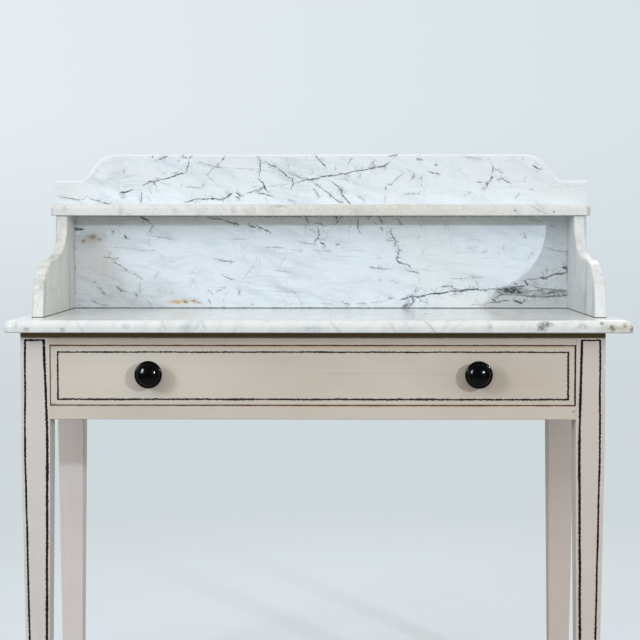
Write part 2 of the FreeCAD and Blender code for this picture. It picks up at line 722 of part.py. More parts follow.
# Knobs: turned heads on a waisted neck, each held by a screw from inside the drawer
def knob(x):
    """A turned knob on the drawer front with its bore, its screw and the hole for the screw."""
    reach = KNOB_PROJECTION
    wide = KNOB_RADIUS

    def at(radius, out):
        return V(x + radius * wide, FRAME_FRONT - out * reach, KNOB_HEIGHT)

    edges = [
        line(at(0, 0), at(0.58, 0)),
        line(at(0.58, 0), at(0.58, 0.07)),
        quarter(at(0.58, 0.07), at(0.44, 0.07), at(0.44, 0.27)),
        quarter(at(0.44, 0.27), at(0.44, 0.5), at(0.86, 0.5)),
        quarter(at(0.86, 0.5), at(1, 0.5), at(1, 0.62)),
        quarter(at(1, 0.62), at(1, 0.72), at(0.87, 0.72)),
        line(at(0.87, 0.72), at(0.85, 0.705)),
        quarter(at(0.85, 0.705), at(0.72, 1), at(0, 1)),
        line(at(0, 1), at(0, 0)),
    ]
    turned = Part.Face(Part.Wire(edges)).revolve(V(x, 0, KNOB_HEIGHT), BACKWARD, 360)
    neck = V(x, FRONT_BACK - HEAD_DEPTH, KNOB_HEIGHT)
    length = FRONT_THICKNESS - HEAD_DEPTH + reach * 0.5
    head = rod(SCREW_HEAD, neck, BACKWARD, HEAD_DEPTH - PIN_ROOM)
    shank = rod(SCREW_RADIUS, neck, -BACKWARD, length)
    sink = rod(SCREW_HEAD + PIN_ROOM, neck, BACKWARD, HEAD_DEPTH + 1.0)
    pilot = rod(SCREW_RADIUS + PIN_ROOM, neck, -BACKWARD, length + END_ROOM)
    return turned.cut(pilot), head.fuse(shank).removeSplitter(), sink.fuse(pilot)


KNOB_MIDDLE = FRAME_SHIFT + KNOB_SHIFT
knob_left, knob_left_screw, left_bore = knob(KNOB_MIDDLE - KNOB_SPREAD / 2)
knob_right, knob_right_screw, right_bore = knob(KNOB_MIDDLE + KNOB_SPREAD / 2)
drawer_front = drawer_front.cut([left_bore, right_bore])

save("drawer_front", drawer_front)
save("drawer_left_side", drawer_left_side)
save("drawer_right_side", mirrored(drawer_left_side, FRAME_SHIFT))
save("drawer_back", drawer_back)
save("drawer_bottom", drawer_bottom)
save("bottom_nails", *nails)
save("left_knob", knob_left)
save("right_knob", knob_right)
save("knob_screws", knob_left_screw, knob_right_screw)
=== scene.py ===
# %% [markdown]
# # A marble-top washstand
# The real piece is a painted pine stand with one wide drawer, a polished marble top, and a marble back with
# two curved cheeks and a narrow shelf. Every solid comes from the CAD frame, in metres and in its place. This
# lesson gives each one its real finish, and adds the painted lines that no CAD model holds.

# %% Load the frame
import math

import bmesh
import bpy
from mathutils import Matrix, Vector, noise


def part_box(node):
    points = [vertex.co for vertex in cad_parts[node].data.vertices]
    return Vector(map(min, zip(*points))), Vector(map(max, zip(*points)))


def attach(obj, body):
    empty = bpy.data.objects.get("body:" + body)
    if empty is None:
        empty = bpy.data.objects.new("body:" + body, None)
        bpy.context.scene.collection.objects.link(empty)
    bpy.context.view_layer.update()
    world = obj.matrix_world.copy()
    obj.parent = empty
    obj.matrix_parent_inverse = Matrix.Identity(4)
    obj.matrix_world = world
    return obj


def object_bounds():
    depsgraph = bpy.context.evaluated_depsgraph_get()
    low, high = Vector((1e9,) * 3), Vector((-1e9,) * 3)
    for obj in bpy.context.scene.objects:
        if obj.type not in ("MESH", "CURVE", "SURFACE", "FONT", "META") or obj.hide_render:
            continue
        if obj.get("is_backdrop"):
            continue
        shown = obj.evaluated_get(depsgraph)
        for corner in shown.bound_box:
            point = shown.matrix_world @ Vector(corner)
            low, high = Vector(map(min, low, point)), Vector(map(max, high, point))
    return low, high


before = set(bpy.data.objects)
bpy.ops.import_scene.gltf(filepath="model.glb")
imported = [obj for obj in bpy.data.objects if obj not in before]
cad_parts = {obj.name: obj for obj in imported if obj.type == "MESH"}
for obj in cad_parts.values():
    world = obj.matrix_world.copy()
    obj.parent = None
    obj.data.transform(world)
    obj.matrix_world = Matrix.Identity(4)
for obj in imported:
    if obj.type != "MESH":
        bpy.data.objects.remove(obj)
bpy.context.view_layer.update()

# %% [markdown]
# ## Colours and nodes
# Colours are picked as the eye sees them, as sRGB hex values, but shaders count light in linear steps, so one
# small function turns one into the other. A second one adds any shader node: it sets the node's options, then
# fills or links its sockets. Everything below is built from these two. The helpers after them make what comes
# most often: a sum, a ramp, and one colour laid over another.

# %% Colour and node helpers
MM = 1000.0  # millimetres in a metre


def linear(colour):
    """An sRGB hex colour as the linear values that a shader works with."""
    parts = [int(colour[i : i + 2], 16) / 255 for i in (1, 3, 5)]
    return (*[p / 12.92 if p <= 0.04045 else ((p + 0.055) / 1.055) ** 2.4 for p in parts], 1.0)


def add(tree, kind, inputs=(), **settings):
    """Add one shader node. Inputs are values, sockets or other nodes, listed in order or named."""
    node = tree.nodes.new("ShaderNode" + kind)
    for name, value in settings.items():
        setattr(node, name, value)
    pairs = inputs.items() if isinstance(inputs, dict) else enumerate(inputs)
    for key, value in pairs:
        if isinstance(value, bpy.types.Node):
            value = value.outputs[0]
        if isinstance(value, bpy.types.NodeSocket):
            tree.links.new(value, node.inputs[key])
        else:
            node.inputs[key].default_value = value
    return node


def math_node(tree, operation, *values):
    """One sum on values or sockets."""
    return add(tree, "Math", values, operation=operation)


def times(tree, value, factor):
    """A value times a factor."""
    return math_node(tree, "MULTIPLY", value, factor)


def scaled(tree, value, factor, more):
    """A value times a factor, plus more."""
    return math_node(tree, "MULTIPLY_ADD", value, factor, more)


def ramp(tree, value, start, end, low=0.0, high=1.0, **settings):
    """Low where the value is at the start, high where it is at the end, and no further."""
    ends = {"Value": value, "From Min": start, "From Max": end, "To Min": low, "To Max": high}
    return add(tree, "MapRange", ends, **settings)


def tint(tree, under, over, *shares):
    """A colour laid over another, hex or socket, as thick as its shares say when they are multiplied."""
    share = shares[0]
    for factor in shares[1:]:
        share = times(tree, share, factor)
    under, over = (linear(c) if isinstance(c, str) else c for c in (under, over))
    return add(tree, "Mix", {0: share, 6: under, 7: over}, data_type="RGBA").outputs[2]


# %% [markdown]
# ## Where a pattern lies
# A pattern that follows the piece reads Object coordinates. They are metres in the frame, so here they become
# millimetres, and a pattern of a given real size then has a scale of one over that size. Stone and wood are
# never straight, so a helper pushes the coordinates about with soft noise before a pattern reads them.

# %% Places in millimetres
def place_in_mm(tree, shift=(0, 0, 0)):
    """Object coordinates in millimetres, moved aside so that like pieces don't show like patterns."""
    object_place = add(tree, "TexCoord").outputs["Object"]
    in_mm = add(tree, "VectorMath", {0: object_place, 3: MM}, operation="SCALE")
    return add(tree, "VectorMath", [in_mm, shift], operation="ADD")


def wander(tree, place, size, reach):
    """Push a place about by up to the reach, in waves of the given size, both in millimetres."""
    waves = add(tree, "TexNoise", {"Vector": place, "Scale": 1 / size, "Detail": 2.0}).outputs["Color"]
    centred = add(tree, "VectorMath", [waves, (0.5, 0.5, 0.5)], operation="SUBTRACT")
    push = add(tree, "VectorMath", {0: centred, 3: 2 * reach}, operation="SCALE")
    return add(tree, "VectorMath", [place, push], operation="ADD")


def patches(tree, place, sizes, low, high, detail=4.0):
    """Soft patches of the given sizes in millimetres along X, Y and Z: 0 below low and 1 above high."""
    steps = add(tree, "VectorMath", [place, tuple(1 / s for s in sizes)], operation="MULTIPLY")
    cloud = add(tree, "TexNoise", {"Vector": steps, "Scale": 1.0, "Detail": detail, "Roughness": 0.6})
    return ramp(tree, cloud, low, high)


# %% [markdown]
# ## Marks on the front
# An old piece has its own stains, rust and dirt, each in one spot, and a few marks are painted light and
# shade in one spot instead. A mark is a soft oval on the front, placed in millimetres from the middle and
# above the marble top. A mask keeps it off the faces behind.

# %% Marks on the front
TOP_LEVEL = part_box("marble_top")[1].z * MM
MASK_START, MASK_END = 4, 14  # millimetres behind the front face


def seen_from_front(tree, place):
    """A place as centimetres across the front and above the marble top."""
    in_cm = add(tree, "VectorMath", {0: place, 3: 0.1}, operation="SCALE")
    on_face = add(tree, "SeparateXYZ", [in_cm])
    return on_face.outputs["X"], math_node(tree, "SUBTRACT", on_face.outputs["Z"], TOP_LEVEL / 10)


def spot(tree, across, up, x, z, wide, high):
    """A soft oval on the front: 1 in its middle and 0 at its rim. Middle and radii are in millimetres."""
    aside = scaled(tree, across, 10 / wide, -x / wide)
    above = scaled(tree, up, 10 / high, -z / high)
    far = add(tree, "VectorMath", [add(tree, "CombineXYZ", [aside, above])], operation="LENGTH")
    return ramp(tree, far.outputs["Value"], 0.0, 1.0, 1.0, 0.0, interpolation_type="SMOOTHSTEP")


def in_front(tree, place, node):
    """1 on the front face of a CAD node and 0 a little behind it."""
    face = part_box(node)[0].y * MM
    depth = add(tree, "SeparateXYZ", [place]).outputs["Y"]
    return ramp(tree, depth, face + MASK_START, face + MASK_END, 1.0, 0.0)


def marked(tree, colour, place, marks, mask):
    """A colour with marks on it. Each has its middle, its radii, a strength and a colour."""
    across, up = seen_from_front(tree, place)
    for *oval, strength, mark in marks:
        colour = tint(tree, colour, mark, spot(tree, across, up, *oval), strength, mask)
    return colour


print("marble top at", round(TOP_LEVEL, 1), "mm")

# %% [markdown]
# ## From pattern to piece
# Every finish ends in the same way. Colour, roughness and height go to the main shader, the height as a bump
# that is too fine to model. Then the finish goes onto the solids that are made of it.

# %% Finish helpers
def new_finish(name):
    """A new material with its node tree and its main shader."""
    material = bpy.data.materials.new(name)
    material.use_nodes = True
    return material, material.node_tree, material.node_tree.nodes["Principled BSDF"]


def surface(tree, shader, colour, gloss, height, strength, depth):
    """Join a colour, a roughness and a bump of a given depth, in millimetres, to the main shader."""
    bump = add(tree, "Bump", {"Height": height, "Strength": strength, "Distance": depth / MM})
    tree.links.new(colour, shader.inputs["Base Color"])
    tree.links.new(gloss.outputs[0], shader.inputs["Roughness"])
    tree.links.new(bump.outputs[0], shader.inputs["Normal"])


def dress(material, names):
    """Give a finish to CAD nodes."""
    for name in names:
        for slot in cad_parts[name].material_slots:
            slot.material = material
    print(material.name, "on", len(names), "pieces,", len(material.node_tree.nodes), "nodes")


# %% [markdown]
# ## Drawn veins
# The back slab is the show piece: its veins make it this slab and no other. Each vein is a short run of
# points on the face, in millimetres from the slab's middle and above the marble top. One Float Curve node
# holds the run and another its width, which falls to nothing at both ends. The stone is dark where it is
# close to the run. A vein that climbs more than it travels is read sideways, with height as its length.

# %% Vein helpers
HAIR = 0.0005  # centimetres: too thin to show, but never less than nothing
SPREAD = 7.0  # how many times wider than a vein its feathered border is
TAPER = 0.25  # the share of a vein over which each end thins out
FAR_LEFT = -100.0  # centimetres: left of or below all veins


def bend(node, points):
    """Draw a Float Curve through points in centimetres, level beyond its ends."""
    node.mapping.use_clip = False
    node.mapping.extend = "HORIZONTAL"
    node.mapping.clip_min_x = FAR_LEFT
    node.mapping.clip_max_x = points[-1][0]
    node.mapping.clip_min_x = points[0][0]
    curve = node.mapping.curves[0]
    curve.points[0].location = points[0]
    curve.points[1].location = points[-1]
    for point in points[1:-1]:
        curve.points.new(*point)
    for point in curve.points:
        point.handle_type = "VECTOR"
    node.mapping.update()


def vein(tree, across, up, width, strength, *run):
    """How dark one vein is and how near it is. The width is from its middle to its edge, in millimetres."""
    points = list(zip(run[::2], run[1::2]))
    rise = abs(points[-1][1] - points[0][1])
    travel = abs(points[-1][0] - points[0][0])
    along, aside = (up, across) if rise > travel else (across, up)
    run = sorted((h / 10, x / 10) if rise > travel else (x / 10, h / 10) for x, h in points)
    width *= 0.1 * SPREAD * math.hypot(rise, travel) / max(rise, travel)
    start, end = run[0][0], run[-1][0]
    taper = TAPER * (end - start)
    path = add(tree, "FloatCurve", {"Value": along})
    bend(path, run)
    reach = add(tree, "FloatCurve", {"Value": along})
    bend(reach, [(start - 0.1, HAIR), (start + taper, width), (end - taper, width), (end + 0.1, HAIR)])
    gap = math_node(tree, "ABSOLUTE", math_node(tree, "SUBTRACT", aside, path))
    near = ramp(tree, gap, 0.0, reach, strength, 0.0)
    core = ramp(tree, near, strength * (1 - 1 / SPREAD), strength * (1 - 0.5 / SPREAD), 0.0, strength)
    return core, near


# %% [markdown]
# ## Veins of the crest
# Above the shelf the slab rises to a wavy crest. Its veins run on from one to the next, and the longest are
# drawn in pieces that overlap, because each piece can only go one way.

# %% Crest veins
# Width and strength, then each point of the run, across and up
CREST_VEINS = [
    (1.3, 0.75, -519, 219, -506, 217, -478, 213, -465, 214, -458, 219, -453, 215),
    (1.3, 0.8, -458, 216, -439, 211, -428, 207, -414, 205, -408, 208), (0.8, 0.4, -422, 217, -408, 219),
    (0.9, 0.45, -436, 273, -443, 261, -445, 252), (1.4, 0.6, -387, 274, -386, 269, -385, 263),
    (1.7, 1.0, -366, 234, -375, 230, -380, 228, -392, 227, -395, 224),
    (1.2, 0.8, -396, 225, -393, 220, -389, 215, -382, 219, -380, 225),
    (1.7, 1.0, -258, 289, -259, 282, -261, 275, -262, 268),
    (1.8, 1.0, -258, 269, -269, 264, -275, 264, -286, 259, -290, 257, -303, 254, -316, 251),
    (1.8, 1.0, -312, 252, -320, 249, -328, 248, -336, 248, -341, 244, -352, 240),
    (0.9, 0.7, -288, 266, -282, 263), (1.0, 0.8, -323, 256, -319, 250), (1.4, 0.9, -328, 247, -323, 240),
    (0.7, 0.5, -316, 247, -298, 242), (0.8, 0.5, -297, 248, -296, 238),
    (1.3, 0.9, -352, 226, -351, 218, -353, 212, -352, 206), (0.9, 0.6, -338, 237, -334, 230, -332, 224),
    (0.9, 0.6, -342, 221, -337, 216, -332, 208),
    (1.9, 0.9, -319, 291, -314, 292, -306, 296, -299, 297, -298, 301), (1.2, 0.7, -330, 295, -329, 299),
    (1.0, 0.5, -328, 289, -318, 287), (0.9, 0.5, -282, 290, -272, 290), (1.9, 0.9, -271, 300, -269, 294),
    (1.6, 0.9, -267, 296, -261, 294), (1.0, 0.7, -252, 300, -259, 291),
    (1.0, 0.7, -250, 288, -239, 283, -233, 285, -225, 282, -204, 277, -194, 275, -182, 275),
    (0.7, 0.4, -174, 274, -143, 273, -123, 271, -103, 269, -88, 267),
    (1.5, 0.9, -186, 300, -190, 294, -194, 288),
    (1.0, 0.7, -194, 288, -202, 281, -205, 277, -214, 272, -220, 265, -222, 259),
    (0.7, 0.5, -276, 245, -271, 238), (0.8, 0.65, -265, 238, -247, 236, -231, 236),
    (0.9, 0.5, -230, 244, -231, 236),
    (1.4, 0.9, -272, 209, -259, 209, -253, 211, -251, 213, -237, 214, -220, 214, -205, 214),
    (1.4, 0.9, -215, 214, -194, 213, -186, 216, -180, 222, -170, 227), (2.4, 1.0, -215, 214, -206, 214),
    (2.2, 1.0, -192, 214, -183, 219, -172, 226), (0.9, 0.5, -232, 222, -211, 218),
    (2.0, 1.0, -166, 227, -160, 223, -156, 219), (1.8, 1.0, -168, 219, -160, 217),
    (1.1, 0.8, -161, 216, -162, 211), (1.1, 0.7, -155, 222, -149, 218),
    (1.3, 0.85, -126, 301, -122, 294, -117, 286, -119, 281, -118, 271, -120, 261, -124, 254),
    (1.7, 0.95, -124, 256, -119, 250, -114, 247, -112, 241, -110, 235, -106, 231, -98, 225),
    (1.2, 0.85, -149, 224, -135, 228, -123, 231, -116, 234, -110, 237, -98, 240),
    (0.8, 0.5, -106, 238, -94, 241, -76, 241, -60, 244),
    (1.5, 0.85, -126, 226, -112, 224, -104, 222, -96, 220, -89, 217), (1.0, 0.45, -108, 218, -106, 204),
    (1.5, 0.85, -116, 291, -102, 282, -96, 279, -87, 278, -82, 272, -72, 265, -64, 257, -54, 253),
    (1.6, 0.9, -55, 256, -56, 249, -53, 244, -59, 235), (1.1, 0.5, -63, 283, -64, 271),
    (1.1, 0.65, -67, 270, -57, 263, -49, 260, -39, 255, -27, 252),
    (1.5, 0.95, -56, 243, -41, 248, -25, 252, -13, 253, -4, 255, 2, 258, 14, 259, 30, 261, 50, 263),
    (1.5, 0.95, 25, 260, 38, 263, 50, 263, 67, 269, 85, 271, 97, 273, 106, 276, 124, 279),
    (1.7, 0.95, 108, 276, 116, 277, 124, 279, 132, 284, 136, 291), (1.8, 0.85, 130, 296, 141, 299, 154, 302),
    (1.7, 0.85, -10, 302, -7, 295, -1, 287, 6, 281, 11, 275),
    (1.3, 0.85, -18, 251, -11, 243, -2, 237, 12, 228, 22, 219, 30, 212, 38, 208, 48, 209),
    (1.1, 0.65, -29, 241, -17, 237, -9, 229, -5, 220, -6, 212),
    (1.5, 0.95, 15, 253, 24, 246, 34, 239, 40, 233, 41, 225, 48, 216, 51, 210, 59, 205),
    (2.0, 0.9, 47, 217, 52, 210, 59, 205), (1.0, 0.55, 45, 261, 50, 253, 57, 245),
    (1.2, 0.6, 77, 266, 78, 258, 71, 253), (1.0, 0.5, -67, 224, -65, 213, -53, 210, -47, 206),
    (0.9, 0.4, -43, 228, -49, 222, -47, 216, -39, 212), (1.2, 0.65, 71, 222, 79, 215, 89, 211),
    (1.1, 0.55, 53, 281, 59, 291, 62, 297), (1.0, 0.4, 30, 281, 28, 271, 30, 263),
    (0.9, 0.5, -15, 271, -19, 261), (1.1, 0.65, 107, 291, 101, 283, 95, 278, 91, 273),
    (1.6, 0.8, 103, 280, 108, 279), (1.2, 0.6, 162, 266, 156, 260, 148, 253, 142, 246, 138, 242, 128, 243),
    (1.4, 0.8, 128, 239, 127, 231), (1.1, 0.5, 126, 222, 126, 212, 128, 204),
    (1.4, 0.75, 166, 273, 175, 268, 182, 265, 183, 260, 179, 254, 174, 249),
    (1.4, 0.45, 197, 259, 197, 248, 198, 237), (1.2, 0.6, 163, 223, 175, 225, 187, 224, 197, 224),
    (1.9, 0.8, 188, 292, 193, 292, 198, 289), (1.6, 0.8, 222, 280, 229, 280),
    (1.6, 0.85, 207, 268, 214, 267, 222, 265, 236, 262),
    (1.0, 0.45, 271, 301, 279, 297, 293, 294, 309, 292, 319, 289),
    (1.7, 0.95, 334, 281, 337, 275, 336, 270, 335, 264),
    (1.6, 0.95, 331, 261, 335, 257, 332, 251, 327, 246, 325, 237), (1.2, 0.65, 337, 274, 348, 269, 359, 262),
    (1.2, 0.7, 306, 247, 317, 247), (1.2, 0.6, 317, 236, 320, 232),
    (1.6, 0.85, 343, 250, 352, 254, 358, 252, 364, 248, 374, 243), (1.0, 0.45, 295, 227, 287, 224, 279, 219),
    (1.3, 0.4, 395, 297, 394, 285), (1.7, 0.95, 412, 281, 419, 277, 424, 274, 432, 271),
    (1.0, 0.45, 404, 259, 399, 254, 398, 248), (1.2, 0.6, 391, 227, 383, 220, 380, 213),
    (1.1, 0.5, 408, 232, 418, 231),
]

# %% [markdown]
# ## Veins of the face
# Below the shelf the slab is calmer. Short dark veins hang down from the shelf, and one bold vein runs along
# the foot to the right, with wide dark places where it forks.

# %% Face veins
FACE_VEINS = [
    (3.6, 1.0, -520, 155, -476, 155, -462, 155), (2.0, 1.0, -355, 181, -343, 174, -338, 170, -333, 163),
    (1.7, 1.0, -328, 161, -333, 156, -337, 152), (1.2, 0.8, -333, 151, -334, 144),
    (0.9, 0.55, -343, 145, -331, 142, -320, 141, -306, 138, -292, 135, -282, 132),
    (0.8, 0.4, -336, 140, -339, 128, -332, 118),
    (0.8, 0.45, -418, 122, -400, 119, -384, 119, -369, 116, -355, 114, -335, 113, -316, 113),
    (1.3, 0.65, -414, 112, -415, 102, -412, 96),
    (1.4, 0.75, -428, 100, -418, 100, -410, 97, -404, 96, -395, 98),
    (1.2, 0.75, -414, 98, -404, 89, -392, 83, -382, 76, -371, 66), (1.1, 0.65, -373, 68, -363, 64, -350, 57),
    (1.0, 0.55, -355, 53, -356, 45, -355, 36, -356, 25), (1.5, 0.9, -386, 146, -383, 139, -376, 134),
    (1.8, 0.75, -413, 150, -405, 149), (1.0, 0.45, -428, 144, -421, 139),
    (1.3, 0.85, -438, 42, -430, 34, -423, 24), (1.3, 0.7, -447, 54, -443, 49),
    (1.4, 0.9, -403, 44, -396, 37, -390, 34, -381, 33), (1.6, 0.9, -365, 26, -359, 24),
    (1.2, 0.65, -452, 14, -439, 9, -428, 6, -412, 4), (1.2, 0.55, -342, 17, -336, 10, -333, 4, -332, -2),
    (1.1, 0.6, -318, 75, -322, 67, -327, 57), (0.9, 0.4, -320, 40, -319, 32, -314, 22),
    (1.0, 0.5, -297, 28, -287, 32), (1.3, 0.7, -220, 18, -216, 8), (1.2, 0.6, -221, 36, -216, 31, -211, 25),
    (1.5, 0.7, -193, 18, -191, 13), (1.2, 0.6, -206, 32, -198, 36, -187, 41),
    (1.3, 0.7, -214, 100, -202, 96, -192, 93, -180, 92, -166, 90),
    (1.3, 0.9, -226, 177, -204, 175, -194, 174, -184, 170),
    (2.1, 1.0, -194, 174, -186, 171, -178, 168, -170, 166, -158, 163),
    (2.0, 1.0, -144, 163, -135, 160, -126, 158), (2.0, 1.0, -126, 163, -121, 159, -114, 155),
    (1.9, 0.95, -112, 155, -103, 151, -96, 146), (0.9, 0.6, -118, 157, -108, 154),
    (1.1, 0.7, -141, 168, -143, 162), (0.9, 0.45, -180, 134, -159, 135, -139, 136),
    (0.9, 0.5, -115, 121, -106, 118, -96, 119, -80, 119, -72, 120), (0.9, 0.5, -62, 116, -47, 113, -29, 114),
    (0.9, 0.6, -17, 113, -2, 113, 26, 111), (1.0, 0.65, -49, 132, -35, 128, -23, 126, -5, 125),
    (1.8, 1.0, -7, 161, -4, 153, -3, 144, -7, 137, -11, 131, -13, 126), (0.9, 0.5, -24, 157, -9, 148),
    (0.9, 0.45, -30, 165, -30, 144), (2.0, 1.0, -1, 128, 6, 126, 10, 120), (1.7, 0.85, 30, 125, 37, 124),
    (1.2, 0.5, 40, 119, 45, 117), (1.5, 0.9, -29, 181, -27, 173, -24, 166), (1.5, 0.9, 29, 182, 32, 174),
    (1.5, 0.85, 41, 180, 32, 170, 27, 164), (1.2, 0.7, -14, 169, -2, 165, 11, 160),
    (1.3, 0.75, -196, 66, -184, 60, -174, 56, -167, 56), (0.9, 0.4, -126, 102, -127, 92),
    (0.9, 0.45, -131, 85, -139, 75, -145, 67, -153, 54), (1.0, 0.45, -95, 75, -76, 73, -56, 70),
    (1.2, 0.55, -162, 41, -160, 25), (1.0, 0.4, -181, 34, -186, 26), (1.5, 0.6, -138, 8, -131, 7),
    (1.0, 0.45, -59, 40, -51, 30, -43, 20, -37, 10, -39, 1), (1.3, 0.6, 43, 15, 46, 9, 57, 8),
    (0.9, 0.45, -2, 10, 24, 8), (1.5, 0.85, 73, 180, 73, 165, 72, 157, 75, 151, 78, 146),
    (1.1, 0.6, 93, 181, 94, 172), (1.0, 0.6, 105, 169, 111, 164), (1.6, 0.9, 113, 180, 118, 171, 122, 164),
    (1.3, 0.7, 118, 160, 121, 152), (1.5, 0.85, 149, 178, 154, 171, 159, 162),
    (1.8, 1.0, 140, 157, 137, 150, 139, 144, 144, 138, 147, 131, 146, 123), (1.0, 0.65, 129, 150, 139, 150),
    (1.0, 0.6, 127, 134, 146, 132), (1.0, 0.65, 141, 122, 155, 123),
    (1.5, 0.85, 152, 121, 154, 112, 151, 106, 149, 100), (1.0, 0.65, 143, 99, 159, 99),
    (1.7, 0.9, 149, 103, 150, 94, 153, 89), (2.2, 0.95, 150, 93, 158, 87),
    (1.5, 0.9, 152, 90, 165, 86, 174, 83, 178, 78), (1.2, 0.75, 163, 76, 179, 72, 191, 69, 197, 66),
    (1.2, 0.8, 89, 82, 97, 81, 107, 79, 120, 78, 142, 76), (2.0, 0.9, 109, 78, 116, 78),
    (0.9, 0.4, 134, 54, 144, 53, 158, 48), (1.2, 0.5, 114, 56, 120, 56), (0.9, 0.4, 174, 45, 188, 46),
    (1.0, 0.45, 188, 66, 193, 57, 195, 48), (1.3, 0.75, 188, 41, 186, 34, 188, 25), (1.1, 0.5, 69, 9, 91, 9),
    (1.0, 0.5, 97, 10, 116, 12, 134, 16), (1.3, 0.6, 131, 19, 143, 20),
    (2.0, 0.95, 153, 15, 165, 19, 175, 23, 192, 23),
    (2.1, 1.0, 180, 23, 195, 22, 205, 25, 214, 28, 234, 29, 248, 31, 258, 34),
    (2.1, 1.0, 238, 30, 258, 34, 277, 34, 287, 36, 301, 37, 325, 36), (3.0, 0.95, 185, 23, 195, 22, 206, 25),
    (3.2, 0.75, 180, 24, 182, 14, 179, 6), (5.0, 0.7, 161, 3, 172, 6, 180, 8), (1.3, 0.6, 204, 13, 215, 6),
    (1.5, 0.85, 232, 43, 244, 43, 252, 44, 260, 42, 263, 38, 277, 37),
    (1.1, 0.6, 252, 59, 269, 58, 283, 59, 291, 59), (1.1, 0.6, 291, 62, 307, 61, 324, 61),
    (1.1, 0.55, 301, 57, 307, 51, 309, 47, 299, 43, 298, 36), (1.2, 0.4, 281, 118, 297, 118, 309, 120),
    (1.1, 0.4, 311, 109, 328, 111), (1.0, 0.4, 197, 165, 199, 157), (1.1, 0.5, 191, 146, 195, 142, 188, 136),
    (4.0, 1.0, 486, 86, 483, 73), (2.6, 0.95, 472, 80, 484, 79),
    (2.2, 1.0, 487, 75, 476, 69, 470, 67, 462, 69, 456, 66, 450, 63, 444, 59, 428, 60),
    (3.4, 1.0, 449, 62, 440, 59, 431, 59), (2.2, 0.9, 465, 69, 454, 65), (1.2, 0.65, 443, 80, 443, 70),
    (1.2, 0.7, 433, 60, 417, 57, 405, 56, 398, 53), (2.5, 1.0, 399, 55, 403, 50, 406, 45),
    (1.6, 0.9, 390, 43, 402, 44), (1.5, 0.75, 379, 52, 384, 46), (1.7, 0.9, 375, 40, 387, 43, 398, 43),
    (1.5, 0.9, 316, 34, 326, 35, 332, 38, 344, 38, 354, 37, 368, 38, 377, 41),
    (2.0, 0.9, 380, 42, 385, 36, 389, 32, 396, 25),
    (1.5, 0.8, 386, 32, 411, 34, 430, 35, 440, 38, 460, 36, 500, 36),
    (3.0, 0.65, 383, 26, 411, 24, 430, 22, 450, 23, 470, 24, 500, 28),
    (1.6, 0.85, 436, 28, 460, 32, 476, 33, 500, 33), (1.3, 0.7, 409, 46, 424, 41, 440, 37),
    (0.9, 0.5, 419, 53, 428, 42), (2.4, 0.9, 337, 19, 344, 13),
    (1.4, 0.75, 330, 11, 346, 12, 360, 15, 374, 16), (1.4, 0.75, 342, 20, 352, 26, 364, 28),
    (2.5, 1.0, 377, 17, 387, 12, 397, 11), (2.0, 1.0, 400, 18, 399, 11), (0.9, 0.45, 291, 8, 322, 6, 334, 12),
    (1.0, 0.45, 303, 18, 313, 6, 315, 2), (1.2, 0.55, 436, 121, 452, 115, 460, 112, 490, 112),
    (1.5, 0.8, 398, 147, 402, 137), (1.0, 0.4, 417, 114, 407, 98, 403, 91),
    (1.2, 0.55, 403, 175, 421, 173, 438, 167), (1.0, 0.4, 447, 163, 463, 157), (1.6, 1.0, 484, 114, 484, 104),
]
print(len(CREST_VEINS) + len(FACE_VEINS), "veins on the back slab")

# %% [markdown]
# ## Veins in groups
# A renderer keeps the unfinished values of a material in a small store, which two hundred veins at once would
# overflow. So they go into node groups, and each group waits for the one before it: its place depends, by
# next to nothing, on what that one found. A drawn vein presses harder here and there, and it has feathers:
# flecks and short cracks, the borders of Voronoi cells, that show only close to it.

# %% Vein groups
GROUP_SIZE = 40
NOTHING = 1e-6  # what the wait adds to a place, in centimetres


def crack_net(tree, place, size, width):
    """A net of cracks around cells of a given size, both in millimetres."""
    cells = add(tree, "TexVoronoi", {"Vector": place, "Scale": 1 / size}, feature="DISTANCE_TO_EDGE")
    return ramp(tree, cells, 0.0, width / size, 1.0, 0.0)


def vein_group(veins):
    """A node group for a few veins. It takes a place on the front and tells how dark and near they are."""
    group = bpy.data.node_groups.new("veins", "ShaderNodeTree")
    for name in ("Across", "Up"):
        group.interface.new_socket(name, in_out="INPUT", socket_type="NodeSocketFloat")
    for name in ("Dark", "Border"):
        group.interface.new_socket(name, in_out="OUTPUT", socket_type="NodeSocketFloat")
    across, up = group.nodes.new("NodeGroupInput").outputs[:2]
    dark = border = 0.0
    for row in veins:
        core, near = vein(group, across, up, *row)
        dark = math_node(group, "MAXIMUM", dark, core)
        border = math_node(group, "MAXIMUM", border, near)
    result = group.nodes.new("NodeGroupOutput")
    group.links.new(dark.outputs[0], result.inputs["Dark"])
    group.links.new(border.outputs[0], result.inputs["Border"])
    return group


